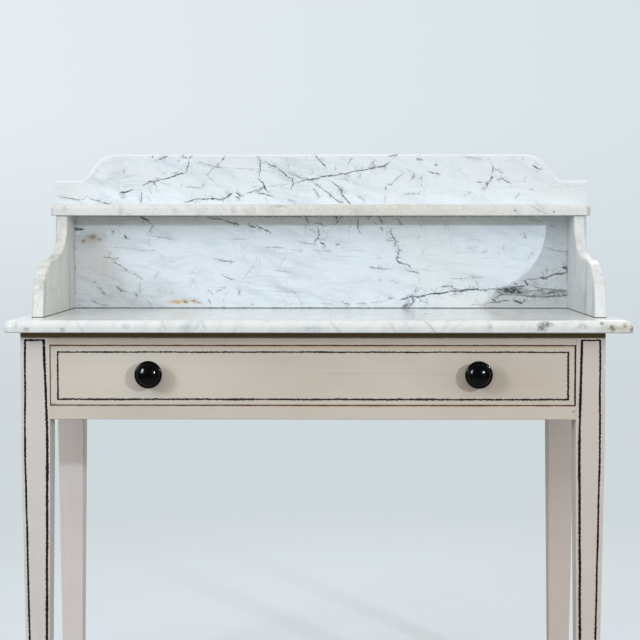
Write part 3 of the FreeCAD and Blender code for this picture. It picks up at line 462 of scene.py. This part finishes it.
def drawn_veins(tree, place, veins):
    """All the veins of a slab and their feathers, from 0 for clear stone to 1 for black."""
    jagged = wander(tree, wander(tree, place, 7.0, 2.4), 2.4, 1.5)
    across, up = seen_from_front(tree, jagged)
    dark = border = 0.0
    for start in range(0, len(veins), GROUP_SIZE):
        across, up = (scaled(tree, dark, NOTHING, way) for way in (across, up))
        group = vein_group(veins[start : start + GROUP_SIZE])
        drawn = add(tree, "Group", [across, up], node_tree=group)
        dark = math_node(tree, "MAXIMUM", dark, drawn.outputs["Dark"])
        border = math_node(tree, "MAXIMUM", border, drawn.outputs["Border"])
    pressure = patches(tree, place, (7, 7, 6), 0.3, 0.6, 3.0)
    dark = times(tree, dark, scaled(tree, pressure, 0.65, 0.4))
    feather = times(tree, crack_net(tree, wander(tree, place, 4.0, 1.8), 10.0, 1.1), 0.85)
    flecks = patches(tree, place, (2.6, 2.6, 2.2), 0.58, 0.68, 2.0)
    thinned = patches(tree, place, (16, 16, 12), 0.45, 0.62, 2.0)
    feather = times(tree, math_node(tree, "MAXIMUM", feather, flecks), thinned)
    dark = math_node(tree, "MAXIMUM", dark, times(tree, feather, border))
    specks = patches(tree, place, (3.4, 3.4, 1.6), 0.66, 0.74, 2.0)
    specks = times(tree, specks, patches(tree, place, (40, 40, 26), 0.46, 0.64))
    return math_node(tree, "MAXIMUM", dark, times(tree, specks, 0.5))


# %% [markdown]
# ## The marble
# White statuary marble is limestone that heat and pressure turned to sugar-fine crystal. Clay in the
# limestone became grey clouds, and cracks that healed became thin dark lines. So the ground is white, the
# clouds are stretched noise that leans, and two nets of cracks, a wide and a close one, are broken up by
# noise.

# %% Stone colour
def marble_colour(tree, place, white, grey, lean, clouds, net, cracked):
    """White stone, grey clouds that lean, in radians, and two nets of cracks. Sizes are in millimetres."""
    drifted = wander(tree, place, 55.0, 14.0)
    leaning = add(tree, "VectorRotate", {"Vector": drifted, "Angle": lean}, rotation_type="Y_AXIS")
    gathered = scaled(tree, patches(tree, place, (190, 150, 300), 0.38, 0.62), 0.55, 0.25)
    colour = tint(tree, white, grey, patches(tree, leaning, clouds, 0.46, 0.78), gathered)
    colour = tint(tree, colour, "#D6D2C8", patches(tree, place, (160, 160, 120), 0.5, 0.85), 0.25)
    jagged = wander(tree, wander(tree, drifted, 9.0, 2.2), 3.0, 1.0)
    broken = patches(tree, place, (0.7 * net, 0.7 * net, 0.5 * net), 0.5, 0.66)
    for size, width, share in ((net, 0.9, cracked), (0.4 * net, 0.8, 0.8 * cracked)):
        colour = tint(tree, colour, "#70787E", broken, share, crack_net(tree, jagged, size, width))
    return colour


# %% [markdown]
# ## Polish, saw and wear
# The front of a slab is ground and polished by hand, so it mirrors a little, and hidden faces keep the marks
# of the saw. Use leaves pits and stains. The upper edge is painted pale, as rubbed wear and as a painted
# highlight where light from above falls on it. A Bevel node finds that edge: it tells which way a face would
# look if its edges were round, and close to the upper edge that way turns up.

# %% Marble recipe
MARBLE_IOR = 1.49
SAW_PITCH = 7.0  # millimetres between saw marks, coarser than real ones, to show
WAVE_SCALE = 0.314  # gives the Wave node one wave in a unit


def pale_rim_highlight_and_wear(tree, colour, reach):
    """A colour painted pale along the upper edge, over a reach in millimetres: rubbed wear and a painted
    highlight.
    """
    turned = add(tree, "SeparateXYZ", [add(tree, "Bevel", {"Radius": reach / MM}, samples=8)])
    return tint(tree, colour, "#E6EAE9", ramp(tree, turned.outputs["Z"], 0.01, 0.2), 0.8)


def saw_marks(tree, place, axis, face, side):
    """How raw the stone is, and how high its saw marks are, at a face across an axis. Side points inward."""
    along = add(tree, "SeparateXYZ", [place]).outputs[axis]
    raw = ramp(tree, along, face + 0.6 * side, face + 0.2 * side)
    marks = add(tree, "TexWave", {"Vector": place, "Scale": WAVE_SCALE / SAW_PITCH, "Distortion": 1.5})
    return raw, times(tree, marks.outputs["Fac"], raw)


def marble(name, ground, polish, nodes, shift=(0, 0, 0), pits=0.1, streaks=0.0, rim=0.0,
           veins=(), stains_and_light=(), sawn=None):
    """Dress slabs in marble. Ground is for marble_colour, rim for pale_rim_highlight_and_wear and sawn for saw_marks."""
    finish, tree, shader = new_finish(name)
    place = place_in_mm(tree, shift)
    colour = marble_colour(tree, place, *ground)
    level = patches(tree, wander(tree, place, 60.0, 9.0), (110, 110, 4.5), 0.54, 0.7, 3.0)
    level = times(tree, level, patches(tree, place, (90, 90, 60), 0.4, 0.6))
    colour = tint(tree, colour, "#8F9AA3", level, streaks)
    blotchy = patches(tree, place, (5, 5, 4), 0.25, 0.6, 3.0)
    blotchy = times(tree, blotchy, in_front(tree, place, nodes[0]))
    colour = marked(tree, colour, wander(tree, place, 9.0, 2.5), stains_and_light, blotchy)
    if rim:
        # The pale upper edge is rubbed wear and a painted highlight
        colour = pale_rim_highlight_and_wear(tree, colour, rim)
    if veins:
        colour = tint(tree, colour, "#2B3035", drawn_veins(tree, place, veins))
    crystals = patches(tree, place, (1.6, 1.6, 1.6), 0.3, 0.75, 1.0)
    colour = tint(tree, colour, "#AEB6BC", crystals, 0.08)
    holes = patches(tree, place, (2.4, 2.4, 2.4), 0.6, 0.68, 2.0)
    colour = tint(tree, colour, "#857B6B", holes, pits)
    ripple = patches(tree, place, (60, 60, 60), 0.2, 0.8, 2.0)
    height = scaled(tree, ripple, 0.08, times(tree, crystals, 0.02))
    height = scaled(tree, holes, -0.5 * pits, height)
    gloss = scaled(tree, crystals, 0.06, polish)
    if sawn:
        raw, cut = saw_marks(tree, place, *sawn)
        height = scaled(tree, cut, 0.35, height)
        gloss = scaled(tree, raw, 0.45, gloss)
    shader.inputs["IOR"].default_value = MARBLE_IOR
    surface(tree, shader, colour, gloss, height, 0.25, 1.0)
    dress(finish, nodes)


# %% [markdown]
# ## The back slab
# All the veins of the crest and the face meet in one material. Iron in the stone has rusted in one spot near
# the foot, and damp has browned the left corner. Those are marks, broken up by small patches, and so is the
# dirt along the joints with the top, the shelf and the cheeks; under the shelf that line is also painted
# shade.
# A warm pale band under the shelf is painted light in the shelf's shadow, and a pale patch at the left is
# painted light in the left cheek's shadow.

# %% Back slab
SLAB_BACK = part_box("marble_back")[1].y * MM
# The middle of each stain and patch of painted light, across and up, its radii, all in millimetres, its
# strength and its colour
BACK_STAINS_AND_LIGHT = [
    (-274, 13, 40, 8, 0.7, "#DDBB6C"), (-286, 12, 20, 4.5, 0.9, "#CB8E22"), (-266, 13, 8, 5, 1.2, "#8E5210"),
    (-250, 14.5, 10, 4.5, 1.0, "#B87A1E"), (-240, 11, 10, 3.5, 0.8, "#5F4628"),
    (-452, 137, 32, 18, 0.8, "#AA9A88"), (-448, 141, 14, 7, 1.2, "#6E5B46"),
    (-466, 131, 7, 6, 1.2, "#6E5B46"), (-434, 136, 6, 5, 1.0, "#7A6A58"), (0, 0, 900, 2.6, 0.9, "#43382A"),
    # At 181 a dark line under the shelf: dirt and painted shade. At 172 a warm pale band: painted light in
    # the shelf's shadow
    (0, 181, 900, 4, 0.9, "#3E382E"), (0, 172, 900, 14, 0.4, "#E6DCC8"),
    (-484, 100, 3.5, 140, 1.2, "#7A6B56"), (484, 90, 3.5, 120, 0.8, "#7A6A52"),
    # At (-440, 90) a pale patch: painted light in the left cheek's shadow
    (-415, 23, 16, 10, 0.55, "#C3B183"), (-440, 90, 80, 100, 0.45, "#E9DCD6"),
    (-500, 230, 80, 40, 0.45, "#CFC9BE"), (-400, 262, 30, 14, 0.5, "#B9B1A8"),
    (470, 225, 80, 30, 0.4, "#D2CCC2"), (440, 20, 80, 30, 0.35, "#C9C3B2"),
    (290, 14, 120, 22, 0.7, "#E6E2D6"), (374, 34, 42, 13, 1.6, "#4E555A"), (450, 29, 55, 9, 0.8, "#7E8589"),
]
marble(
    "veined white marble, polished",
    ("#DDE6EB", "#B9C3CA", -0.3, (80, 60, 18), 58.0, 0.4),
    0.36,
    ["marble_back"],
    streaks=0.4,
    rim=6.5,
    veins=CREST_VEINS + FACE_VEINS,
    stains_and_light=BACK_STAINS_AND_LIGHT,
    sawn=(1, SLAB_BACK, -1),
)

# %% [markdown]
# ## Top, cheeks and shelf
# The other slabs come from plainer blocks. The top has soft clouds that lean across its edge and a few grey
# patches. The cheeks have upright streaks and small pits, and the shelf has yellowed where hands and soap
# have touched it for a century. All follow one recipe, with other tones, sizes and leans.

# %% Other slabs
TOP_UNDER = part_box("marble_top")[0].z * MM
TOP_VEINS = [
    (3.0, 0.18, -411, 0, -398, -19), (2.6, 0.22, -198, 0, -189, -17), (3.4, 0.22, 20, 0, 38, -21),
    (2.4, 0.3, 180, 0, 201, -21), (3.0, 0.16, -265, 0, -256, -18), (3.0, 0.16, 120, 0, 131, -20),
]
TOP_STAINS = [
    (384, -6, 20, 8, 1.5, "#6F7579"), (378, -13, 13, 8, 1.4, "#7A8084"), (-433, -16, 6, 6, 1.0, "#7D7F84"),
    (-494, -15, 10, 7, 0.8, "#9B948A"), (-512, -8, 6, 12, 0.5, "#A9ABAA"), (-12, -14, 40, 8, 0.7, "#A3B0BE"),
    (-226, -12, 18, 8, 0.6, "#AAB6C3"), (-326, -10, 12, 9, 0.6, "#A9B0B5"), (292, -10, 6, 8, 0.7, "#A9A9B2"),
    (447, -9, 12, 9, 0.9, "#9A9CA0"), (505, -12, 56, 12, 0.9, "#BBB296"), (479, -4, 5, 4, 1.3, "#6E6A62"),
    (497, -12, 9, 8, 1.3, "#7A7870"), (518, -9, 7, 6, 1.0, "#8F8A78"), (531, -15, 6, 9, 1.2, "#5F5745"),
]
marble(
    "cloudy white marble, polished",
    ("#DCE0DE", "#A9B2B8", -0.6, (15, 60, 60), 70.0, 0.15),
    0.1,
    ["marble_top"],
    veins=TOP_VEINS,
    stains_and_light=TOP_STAINS,
    sawn=(2, TOP_UNDER, 1),
)
CHEEK_CLOUDS = (0.05, (30, 20, 140), 52.0, 0.3)
for kind, white, grey, node, pits in (
    ("creamy", "#D8D9D4", "#4E5453", "left_cheek", 0.75),
    ("cool", "#D7DBDA", "#686F72", "right_cheek", 0.4),
):
    marble(kind + " streaked marble, worn", (white, grey, *CHEEK_CLOUDS), 0.42, [node], (310, 90, 40), pits)
SHELF_STAINS = [
    (110, 190, 460, 400, 0.9, "#C8C5BA"), (-487, 192, 10, 14, 0.6, "#A9ADB3"),
    (-380, 190, 8, 16, 0.6, "#A39A8A"), (-279, 190, 10, 10, 0.5, "#ABA69B"),
    (-165, 190, 10, 16, 0.6, "#ABA69B"), (-75, 198, 22, 3, 0.8, "#93846C"), (70, 190, 16, 12, 0.5, "#A9B0B6"),
    (371, 190, 4, 4, 1.0, "#6F6A62"), (389, 190, 7, 18, 0.8, "#DCDFE0"), (444, 188, 3, 3, 1.0, "#6F6A62"),
]
marble(
    "yellowed white marble, worn",
    ("#DBDDDB", "#B3B3AE", 0.7, (22, 50, 30), 40.0, 0.25),
    0.4,
    ["marble_shelf"],
    pits=0.45,
    veins=[(0.9, 0.5, 396, 202, 433, 182)],
    stains_and_light=SHELF_STAINS,
)

# %% [markdown]
# ## Old paint
# Legs, rails and drawer front are pine under old oil paint, a warm putty grey, laid on with a wide brush
# along the grain. The bristles leave fine furrows, the tone drifts from place to place, and a century of
# hands has rubbed the sharp edges down to brown wood. So the paint is streaked noise along the grain, and
# each rubbed edge is a band beside a plane, broken up by noise.

# %% Paint recipe
RUBBED_WOOD = "#7A4E2C"


def rubbed_edge(tree, place, axis, edge, reach):
    """How far the paint is rubbed off beside an edge: 1 on the edge and 0 at the reach, in millimetres."""
    along = add(tree, "SeparateXYZ", [place]).outputs[axis]
    gap = math_node(tree, "ABSOLUTE", math_node(tree, "SUBTRACT", along, edge))
    return ramp(tree, gap, 0.0, reach, 1.0, 0.0)


def paint(name, tones, furrows, nodes, edges=(), marks=()):
    """Old paint in a main, a dull and a pale tone. Furrows are the brush marks' sizes in millimetres."""
    finish, tree, shader = new_finish(name)
    place = place_in_mm(tree)
    brush = patches(tree, place, furrows, 0.25, 0.75, 3.0)
    drift = patches(tree, place, (140, 140, 90), 0.3, 0.7, 2.0)
    main, dull, pale = tones
    colour = tint(tree, main, dull, brush, 0.6)
    colour = tint(tree, colour, pale, drift, 0.5)
    grain = patches(tree, place, tuple(2.4 * f for f in furrows), 0.6, 0.72, 2.0)
    colour = tint(tree, colour, "#8F8272", grain, 0.12)
    worn = patches(tree, place, (1.3, 1.3, 1.3), 0.74, 0.8, 2.0)
    luck = patches(tree, place, (22, 22, 12), 0.35, 0.62, 3.0)
    for edge in edges:
        band = times(tree, rubbed_edge(tree, place, *edge), luck)
        worn = math_node(tree, "MAXIMUM", worn, band)
    colour = tint(tree, colour, RUBBED_WOOD, worn, 0.8)
    front = in_front(tree, place, nodes[0])
    colour = marked(tree, colour, wander(tree, place, 5.0, 1.2), marks, front)
    gloss = scaled(tree, brush, 0.14, 0.42)
    height = scaled(tree, worn, -0.8, brush)
    surface(tree, shader, colour, gloss, height, 0.35, 0.12)
    dress(finish, nodes)


# %% [markdown]
# ## The painted stand
# Each piece is painted along its own grain, and the four legs have four tones, which also hold painted light
# and shade: the left rear leg is painted paler and the right-hand legs darker. A dark band under the edge of
# the marble is a painted shadow. The drawer is painted paler at its left and darker at its right, as painted
# light and shade, and it is rubbed at its left end. A dark mark on its right is the painted shade of the wide
# gap there.

# %% Painted pieces
ALONG_X, ALONG_Y, ALONG_Z = (150, 2.2, 1.8), (2.2, 150, 1.8), (1.8, 1.8, 170)
PUTTY_GREY = ("#C8BFB2", "#BAB0A1", "#D1C9BD")
# The legs' tones also hold painted light and shade: the left rear leg is paler, and the right-hand legs
# darker
FRONT_LEFT = ("#CFCAC4", "#C3BCB5", "#D7D3CE")
FRONT_RIGHT = ("#CAC0B8", "#BEB2A9", "#D2C9C2")
REAR_LEFT = ("#DBD4CF", "#CFC7C1", "#E1DBD7")
REAR_RIGHT = ("#CDC3BA", "#C1B6AC", "#D3CBC3")
front_low, front_high = (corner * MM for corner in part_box("drawer_front"))
left, right = front_low.x, front_high.x
foot, head = front_low.z - TOP_LEVEL, front_high.z - TOP_LEVEL
# The axis, the place and the reach of each rubbed edge
drawer_edges = [(0, left, 2.0), (0, right, 2.0), (2, front_low.z, 1.8), (2, front_high.z, 1.8)]
rail_edges = [(2, front_low.z - 1.2, 1.6), (2, front_high.z + 1.5, 1.6)]
drawer_marks = [
    (left, -98, 3.5, 18, 0.9, "#A5632B"), (left + 4, foot + 1, 10, 4, 0.7, "#8F5A30"),
    (left + 60, head, 30, 2.5, 0.6, "#8F5A30"), (0, head - 1, 2000, 4, 0.5, "#C79C70"),
    # Painted light and shade: the left part of the drawer front is painted paler and the right part darker
    (-330, -95, 260, 90, 0.8, "#D4CEC2"), (330, -100, 180, 80, 0.35, "#B9AC9C"),
    # Painted shade: a dark band down the right end of the drawer stands for the shadow in the wide gap there
    (right, -96, 2.6, 160, 1.8, "#1A130E"), (0, foot, 2000, 2, 0.5, "#3A2C20"),
]
# Painted shadow: a dark band under the edge of the marble, on the front rails and the front legs
shadow_under_top = (0, -20, 2000, 14, 9.0, "#837255")
rail_marks = [(438, -158, 3.2, 3.2, 1.0, "#5E5142"), shadow_under_top, (150, -149, 420, 3, 0.5, "#B98757")]
leg_marks = [(490.5, -81, 3, 4.5, 0.9, "#EAE5DB"), shadow_under_top]
FRONT_RAILS = ["top_front_rail", "bottom_front_rail"]
paint("putty-grey paint on the drawer", PUTTY_GREY, ALONG_X, ["drawer_front"], drawer_edges, drawer_marks)
paint("putty-grey paint on the front rails", PUTTY_GREY, ALONG_X, FRONT_RAILS, rail_edges, rail_marks)
paint("putty-grey paint on the back rail", PUTTY_GREY, ALONG_X, ["back_rail"])
paint("putty-grey paint on the side rails", PUTTY_GREY, ALONG_Y, ["left_side_rail", "right_side_rail"])
paint("pinkish grey paint on the left front leg", FRONT_LEFT, ALONG_Z, ["front_left_leg"], (), leg_marks)
paint("warm grey paint on the right front leg", FRONT_RIGHT, ALONG_Z, ["front_right_leg"], (), leg_marks)
paint("pale grey paint on the left rear leg", REAR_LEFT, ALONG_Z, ["rear_left_leg"])
paint("putty-grey paint on the right rear leg", REAR_RIGHT, ALONG_Z, ["rear_right_leg"])

# %% [markdown]
# ## Bare pine
# Inside, nothing was painted. Pine is pale when planed and turns honey brown with age. Its year rings run as
# streaks along each board, so the pattern is noise that is long one way and short across, with a darker line
# where the late wood of each year is dense.

# %% Pine
def pine(name, streaks, *nodes):
    """Aged bare pine. Streaks are the sizes of the grain along X, Y and Z in millimetres."""
    finish, tree, shader = new_finish(name)
    place = wander(tree, place_in_mm(tree), 120.0, 5.0)
    broad = patches(tree, place, streaks, 0.3, 0.7, 3.0)
    fine = patches(tree, place, tuple(s / 3.5 for s in streaks), 0.45, 0.7, 3.0)
    colour = tint(tree, "#C79A64", "#A9783F", broad)
    colour = tint(tree, colour, "#7F5327", fine, 0.5)
    dust = patches(tree, place, (90, 90, 90), 0.45, 0.75)
    colour = tint(tree, colour, "#8C745A", dust, 0.3)
    gloss = scaled(tree, fine, 0.15, 0.62)
    surface(tree, shader, colour, gloss, fine, 0.4, 0.15)
    dress(finish, nodes)


pine("aged pine, grain across the stand", (190, 9, 9), "drawer_back", "drawer_bottom", "drawer_stops")
DRAWER_SIDES = ("drawer_left_side", "drawer_right_side")
LEFT_WAYS = ("left_runner", "left_guide", "left_kicker")
RIGHT_WAYS = ("right_runner", "right_guide", "right_kicker")
pine("aged pine, grain front to back", (9, 190, 9), *DRAWER_SIDES, *LEFT_WAYS, *RIGHT_WAYS)

# %% [markdown]
# ## Knobs, putty and metal
# The knobs are turned from a close wood, stained black and polished to a gloss, so they mirror the lamps in
# two small points and show faint rubbing. The putty that beds the marble has gone dark with dirt. The dowels
# are brass and the screws and nails are plain steel, dull and slightly rusty.

# %% Knob, putty and metal finishes
def small_finish(name, base, over, size, share, roughness, *nodes, metallic=0.0):
    """A finish of two tones in small patches, with the same patches in its gloss and its height."""
    finish, tree, shader = new_finish(name)
    cloud = patches(tree, place_in_mm(tree), (size, size, size), 0.4, 0.75, 3.0)
    colour = tint(tree, base, over, cloud, share)
    gloss = scaled(tree, cloud, roughness[1], roughness[0])
    surface(tree, shader, colour, gloss, cloud, 0.2, 0.1)
    shader.inputs["Metallic"].default_value = metallic
    dress(finish, nodes)
    return finish


KNOBS = ("left_knob", "right_knob")
small_finish("ebonised wood, polished", "#040405", "#0A0A0B", 3.0, 0.6, (0.14, 0.03), *KNOBS)
small_finish("dirty bedding putty", "#241F18", "#100E0B", 2.0, 0.8, (0.8, 0.1), "bedding_putty")
BRASS = ("cheek_dowels", "back_dowels", "shelf_dowels")
small_finish("plain brass", "#C9A55C", "#8A6A33", 4.0, 0.5, (0.32, 0.2), *BRASS, metallic=1.0)
STEEL = ("guide_screws", "bottom_nails", "knob_screws")
small_finish("dull steel", "#8B8680", "#5C4636", 3.0, 0.6, (0.42, 0.25), *STEEL, metallic=1.0)

# %% [markdown]
# ## The painted lines
# A thin black line frames the drawer and each front leg. It was pulled by hand with a lining brush, so it
# swings, swells and thins. Each pull of the brush is a long thin bar that stands a hair proud of the paint.
# The bar starts as a cube, its long edges are cut into short lengths, and then each ring is moved aside and
# made wider or narrower by soft noise. The legs get a full black and the drawer a worn one.

# %% Lining helper
LINE_RISE = 0.16 / MM  # how far the black paint stands off the face
LINE_STEP = 1.6 / MM  # the length of each cut of a bar
OVERRUN = 2.5 / MM  # how much longer a pull is than its line
HAND_WAVE, BRISTLE_WAVE = 40.0, 3.2  # millimetres over which a line swells
SWAY_WAVE, TREMBLE_WAVE = 60.0, 12.0  # millimetres over which a line swings


def pull(bm, middle, length, width, upright, seed, swing=0.35 / MM):
    """One pull of the lining brush on a face that looks to the front."""
    size = (width, 2 * LINE_RISE, length) if upright else (length, 2 * LINE_RISE, width)
    older = len(bm.verts)
    verts = bmesh.ops.create_cube(bm, size=1.0)["verts"]
    bmesh.ops.scale(bm, vec=size, verts=verts)
    bmesh.ops.translate(bm, vec=middle, verts=verts)
    way, side = (2, 0) if upright else (0, 2)
    edges = {e for v in verts for e in v.link_edges}
    long_edges = [e for e in edges if abs(e.verts[0].co[way] - e.verts[1].co[way]) > 0.5 * length]
    bmesh.ops.subdivide_edges(bm, edges=long_edges, cuts=int(length / LINE_STEP), use_grid_fill=True)
    ring = list(bm.verts)[older:]
    for vert in ring:
        along = vert.co[way] * MM
        aside = vert.co[side] - middle[side]
        hair = 1.0 if aside > 0 else -1.0
        swell = 1 + 0.3 * noise.noise((along / HAND_WAVE, seed, 0.0))
        swell += 0.75 * noise.noise((along / BRISTLE_WAVE, seed, hair))
        drift = swing * noise.noise((along / SWAY_WAVE, seed, 9.0))
        drift += 0.2 * swing * noise.noise((along / TREMBLE_WAVE, seed, 5.0))
        vert.co[side] = middle[side] + aside * swell + drift
    return ring


def into_scene(name, data):
    """A new object in the scene, made of a mesh, a lamp or a camera."""
    thing = bpy.data.objects.new(name, data)
    bpy.context.scene.collection.objects.link(thing)
    return thing


def from_bmesh(name, bm, material):
    """A new object in the scene, made of a bmesh, which is then freed."""
    mesh = bpy.data.meshes.new(name)
    bm.to_mesh(mesh)
    bm.free()
    mesh.materials.append(material)
    return into_scene(name, mesh)


def finish_piece(name, bm, body, material):
    """Turn a bmesh into a piece of the object that rides on a body."""
    bmesh.ops.recalc_face_normals(bm, faces=bm.faces)
    piece = from_bmesh(name, bm, material)
    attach(piece, body)
    print(name, len(piece.data.polygons), "faces on", body)


full_black = small_finish("black lining paint", "#030303", "#0B0A09", 2.5, 0.7, (0.75, 0.15))
thin_black = small_finish("black lining paint, worn", "#080706", "#4A443B", 3.0, 0.8, (0.7, 0.15))

# %% [markdown]
# ## Lines on the drawer
# Four pulls make the frame on the drawer front, about 12 mm in from its edges. They meet at the corners,
# where the painter let the brush run a little over. The foot and the right side had a fuller brush.

# %% Drawer lining
LEFT_IN, RIGHT_IN, TOP_IN, FOOT_IN = 12.5 / MM, 12.0 / MM, 10.4 / MM, 10.0 / MM
low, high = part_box("drawer_front")
x0, x1 = low.x + LEFT_IN, high.x - RIGHT_IN
z0, z1 = low.z + FOOT_IN, high.z - TOP_IN
bm = bmesh.new()
for z, width, seed in ((z1, 2.6, 1.3), (z0, 3.2, 2.7)):
    pull(bm, Vector(((x0 + x1) / 2, low.y, z)), x1 - x0 + OVERRUN, width / MM, False, seed)
for x, width, seed in ((x0, 3.0, 4.1), (x1, 3.5, 5.9)):
    pull(bm, Vector((x, low.y, (z0 + z1) / 2)), z1 - z0 + OVERRUN, width / MM, True, seed)
finish_piece("drawer_lining", bm, "drawer", thin_black)

# %% [markdown]
# ## Lines on the front legs
# Each front leg has two long lines and a short one across the top, and they close above the foot. The inner
# line is the bolder one. The leg is square down to the start of its taper, and then all four faces lean in. A
# line starts as an upright pull on a flat face, and then each of its points is moved sideways to keep its
# distance from the leg's edge, and back with the face.

# %% Leg lining
# Metres above the floor. Below the turn a line keeps its distance from the leg's edge
TAPER_START, INSET_TURN, LINE_TOP, LINE_FOOT = 0.533, 0.57, 0.7245, 0.03
FOOT_HALF = 0.01825  # half the width of the foot, in metres
LEG_SWING = 0.6 / MM
CROSS_WIDTH = 3.0 / MM


def leg_lines(name, node, left, right, seed):
    """The lines on one front leg. Each side has its inset at the top and lower down, and its width, in mm."""
    low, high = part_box(node)
    middle = (low.x + high.x) / 2
    square = (high.x - low.x) / 2
    bm = bmesh.new()

    def half(z):
        """Half the width of the leg at a height."""
        return min(square, FOOT_HALF + (square - FOOT_HALF) * z / TAPER_START)

    def inset(side, z):
        """How far in a line runs at a height."""
        share = min(max((z - INSET_TURN) / (LINE_TOP - INSET_TURN), 0.0), 1.0)
        return (side[1] + (side[0] - side[1]) * share) / MM

    span = LINE_TOP - LINE_FOOT
    for sign, side in ((-1, left), (1, right)):
        start = Vector((middle, low.y, LINE_FOOT + span / 2))
        for vert in pull(bm, start, span + OVERRUN, side[2] / MM, True, seed + sign, LEG_SWING):
            vert.co.x += sign * (half(vert.co.z) - inset(side, vert.co.z))
            vert.co.y += square - half(vert.co.z)
    for z in (LINE_TOP, LINE_FOOT):
        x0 = middle - half(z) + inset(left, z)
        x1 = middle + half(z) - inset(right, z)
        start = Vector(((x0 + x1) / 2, low.y + square - half(z), z))
        pull(bm, start, x1 - x0, CROSS_WIDTH, False, seed + 3 + z)
    finish_piece(name, bm, "stand", full_black)


leg_lines("left_leg_lining", "front_left_leg", (8.2, 6.6, 3.4), (9.6, 5.2, 4.4), 11.0)
leg_lines("right_leg_lining", "front_right_leg", (9.7, 6.6, 4.4), (9.4, 8.4, 3.4), 17.0)

# %% [markdown]
# ## The studio
# The stand is shown before nothing but the world's colour. Rays that the camera sends out see a pale wall, a
# little darker to the right. Shiny faces see that wall too, but a nearly dark room everywhere else. All other
# rays see a slightly warm light from above.

# %% World
world = bpy.data.worlds.new("pale studio")
bpy.context.scene.world = world
world.use_nodes = True
tree = world.node_tree
tree.nodes.clear()
ray = add(tree, "LightPath")
mirrored = ray.outputs["Is Glossy Ray"]
seen = math_node(tree, "ADD", ray.outputs["Is Camera Ray"], mirrored)
ahead = add(tree, "SeparateXYZ", [add(tree, "TexCoord").outputs["Generated"]])
height = ahead.outputs["Z"]
sky = tint(tree, "#FFF0DA", "#F6F6F5", height)
ambient = add(tree, "Background", [sky, ramp(tree, height, -0.15, 0.15, 0.07)])
paler = ramp(tree, height, -0.12, 0.08, interpolation_type="SMOOTHSTEP")
upper = tint(tree, "#E5EDF3", "#D8E2E8", ramp(tree, ahead.outputs["X"], -0.2, 0.2))
pale = tint(tree, "#CFD8DC", upper, paler)
dim = times(tree, mirrored, ramp(tree, ahead.outputs["Y"], 0.7, 0.3))
backdrop = add(tree, "Background", [pale, scaled(tree, dim, -0.95, 1.0)])
add(tree, "OutputWorld", [add(tree, "MixShader", [seen, ambient, backdrop])])

# %% [markdown]
# ## The floor
# A pale disc catches the shadows of the legs. It fades out before its rim, so no horizon shows from any side,
# and it is darker for light that bounces, so it throws little of it up at the stand.

# %% Floor
FLOOR_RADIUS, FADE_START, FADE_END = 3.6, 0.4, 2.6  # metres
floor_finish, tree, shader = new_finish("pale floor")
middle = add(tree, "TexCoord").outputs["Object"]
away = add(tree, "VectorMath", [middle], operation="LENGTH").outputs["Value"]
fade = ramp(tree, away, FADE_START, FADE_END, interpolation_type="SMOOTHSTEP")
ray = add(tree, "LightPath")
bounced = math_node(tree, "ADD", ray.outputs["Is Diffuse Ray"], ray.outputs["Is Glossy Ray"])
tree.links.new(tint(tree, "#CBD6DF", "#626465", bounced), shader.inputs["Base Color"])
shader.inputs["Roughness"].default_value = 0.8
faded = add(tree, "MixShader", [fade, shader, add(tree, "BsdfTransparent")])
tree.links.new(faded.outputs[0], tree.nodes["Material Output"].inputs["Surface"])
bm = bmesh.new()
bmesh.ops.create_circle(bm, cap_ends=True, segments=96, radius=FLOOR_RADIUS)
floor = from_bmesh("floor", bm, floor_finish)
floor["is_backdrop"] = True

# %% [markdown]
# ## The lamps
# A small cool lamp to the right casts the crisp shadows of the cheek, the shelf and the knobs. A wide lamp to
# the left fills them softly. A weak wide lamp behind keeps the back readable when the stand is turned.

# %% Lamps
AIM = Vector((0.0, 0.0, 0.75))


def lamp(name, place, width, height, watts, colour):
    """A flat lamp that faces the stand. Its place and size are in metres."""
    light = bpy.data.lights.new(name, "AREA")
    light.shape = "RECTANGLE"
    light.size = width
    light.size_y = height
    light.energy = watts
    light.color = linear(colour)[:3]
    holder = into_scene(name, light)
    holder.location = place
    holder.rotation_euler = (AIM - Vector(place)).to_track_quat("-Z", "Y").to_euler()
    print(name, watts, "W")


lamp("right lamp", (2.05, -3.0, 1.56), 0.08, 0.08, 48.0, "#E8F2FF")
lamp("left lamp", (-2.1, -2.0, 1.7), 0.7, 1.1, 38.0, "#E4EFFF")
lamp("back lamp", (0.6, 3.4, 2.6), 1.6, 1.0, 30.0, "#FFFFFF")

# %% [markdown]
# ## The camera
# It stands three metres off, a little above the marble, and looks slightly down and left with a long lens.

# %% Camera
DOWN, LEFTWARD = 0.0531, 0.0105  # radians
view = bpy.data.cameras.new("camera")
view.sensor_fit = "HORIZONTAL"
view.sensor_width = 36.0
view.lens = 94.38
camera = into_scene("camera", view)
camera.location = (0.0331, -3.0728, 0.9118)
camera.rotation_euler = (math.pi / 2 - DOWN, 0.0, LEFTWARD)
bpy.context.scene.camera = camera
bpy.context.scene.view_settings.view_transform = "Standard"

# %% Sizes
low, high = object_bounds()
print("visual box", [round(v, 4) for v in (*low, *high)])
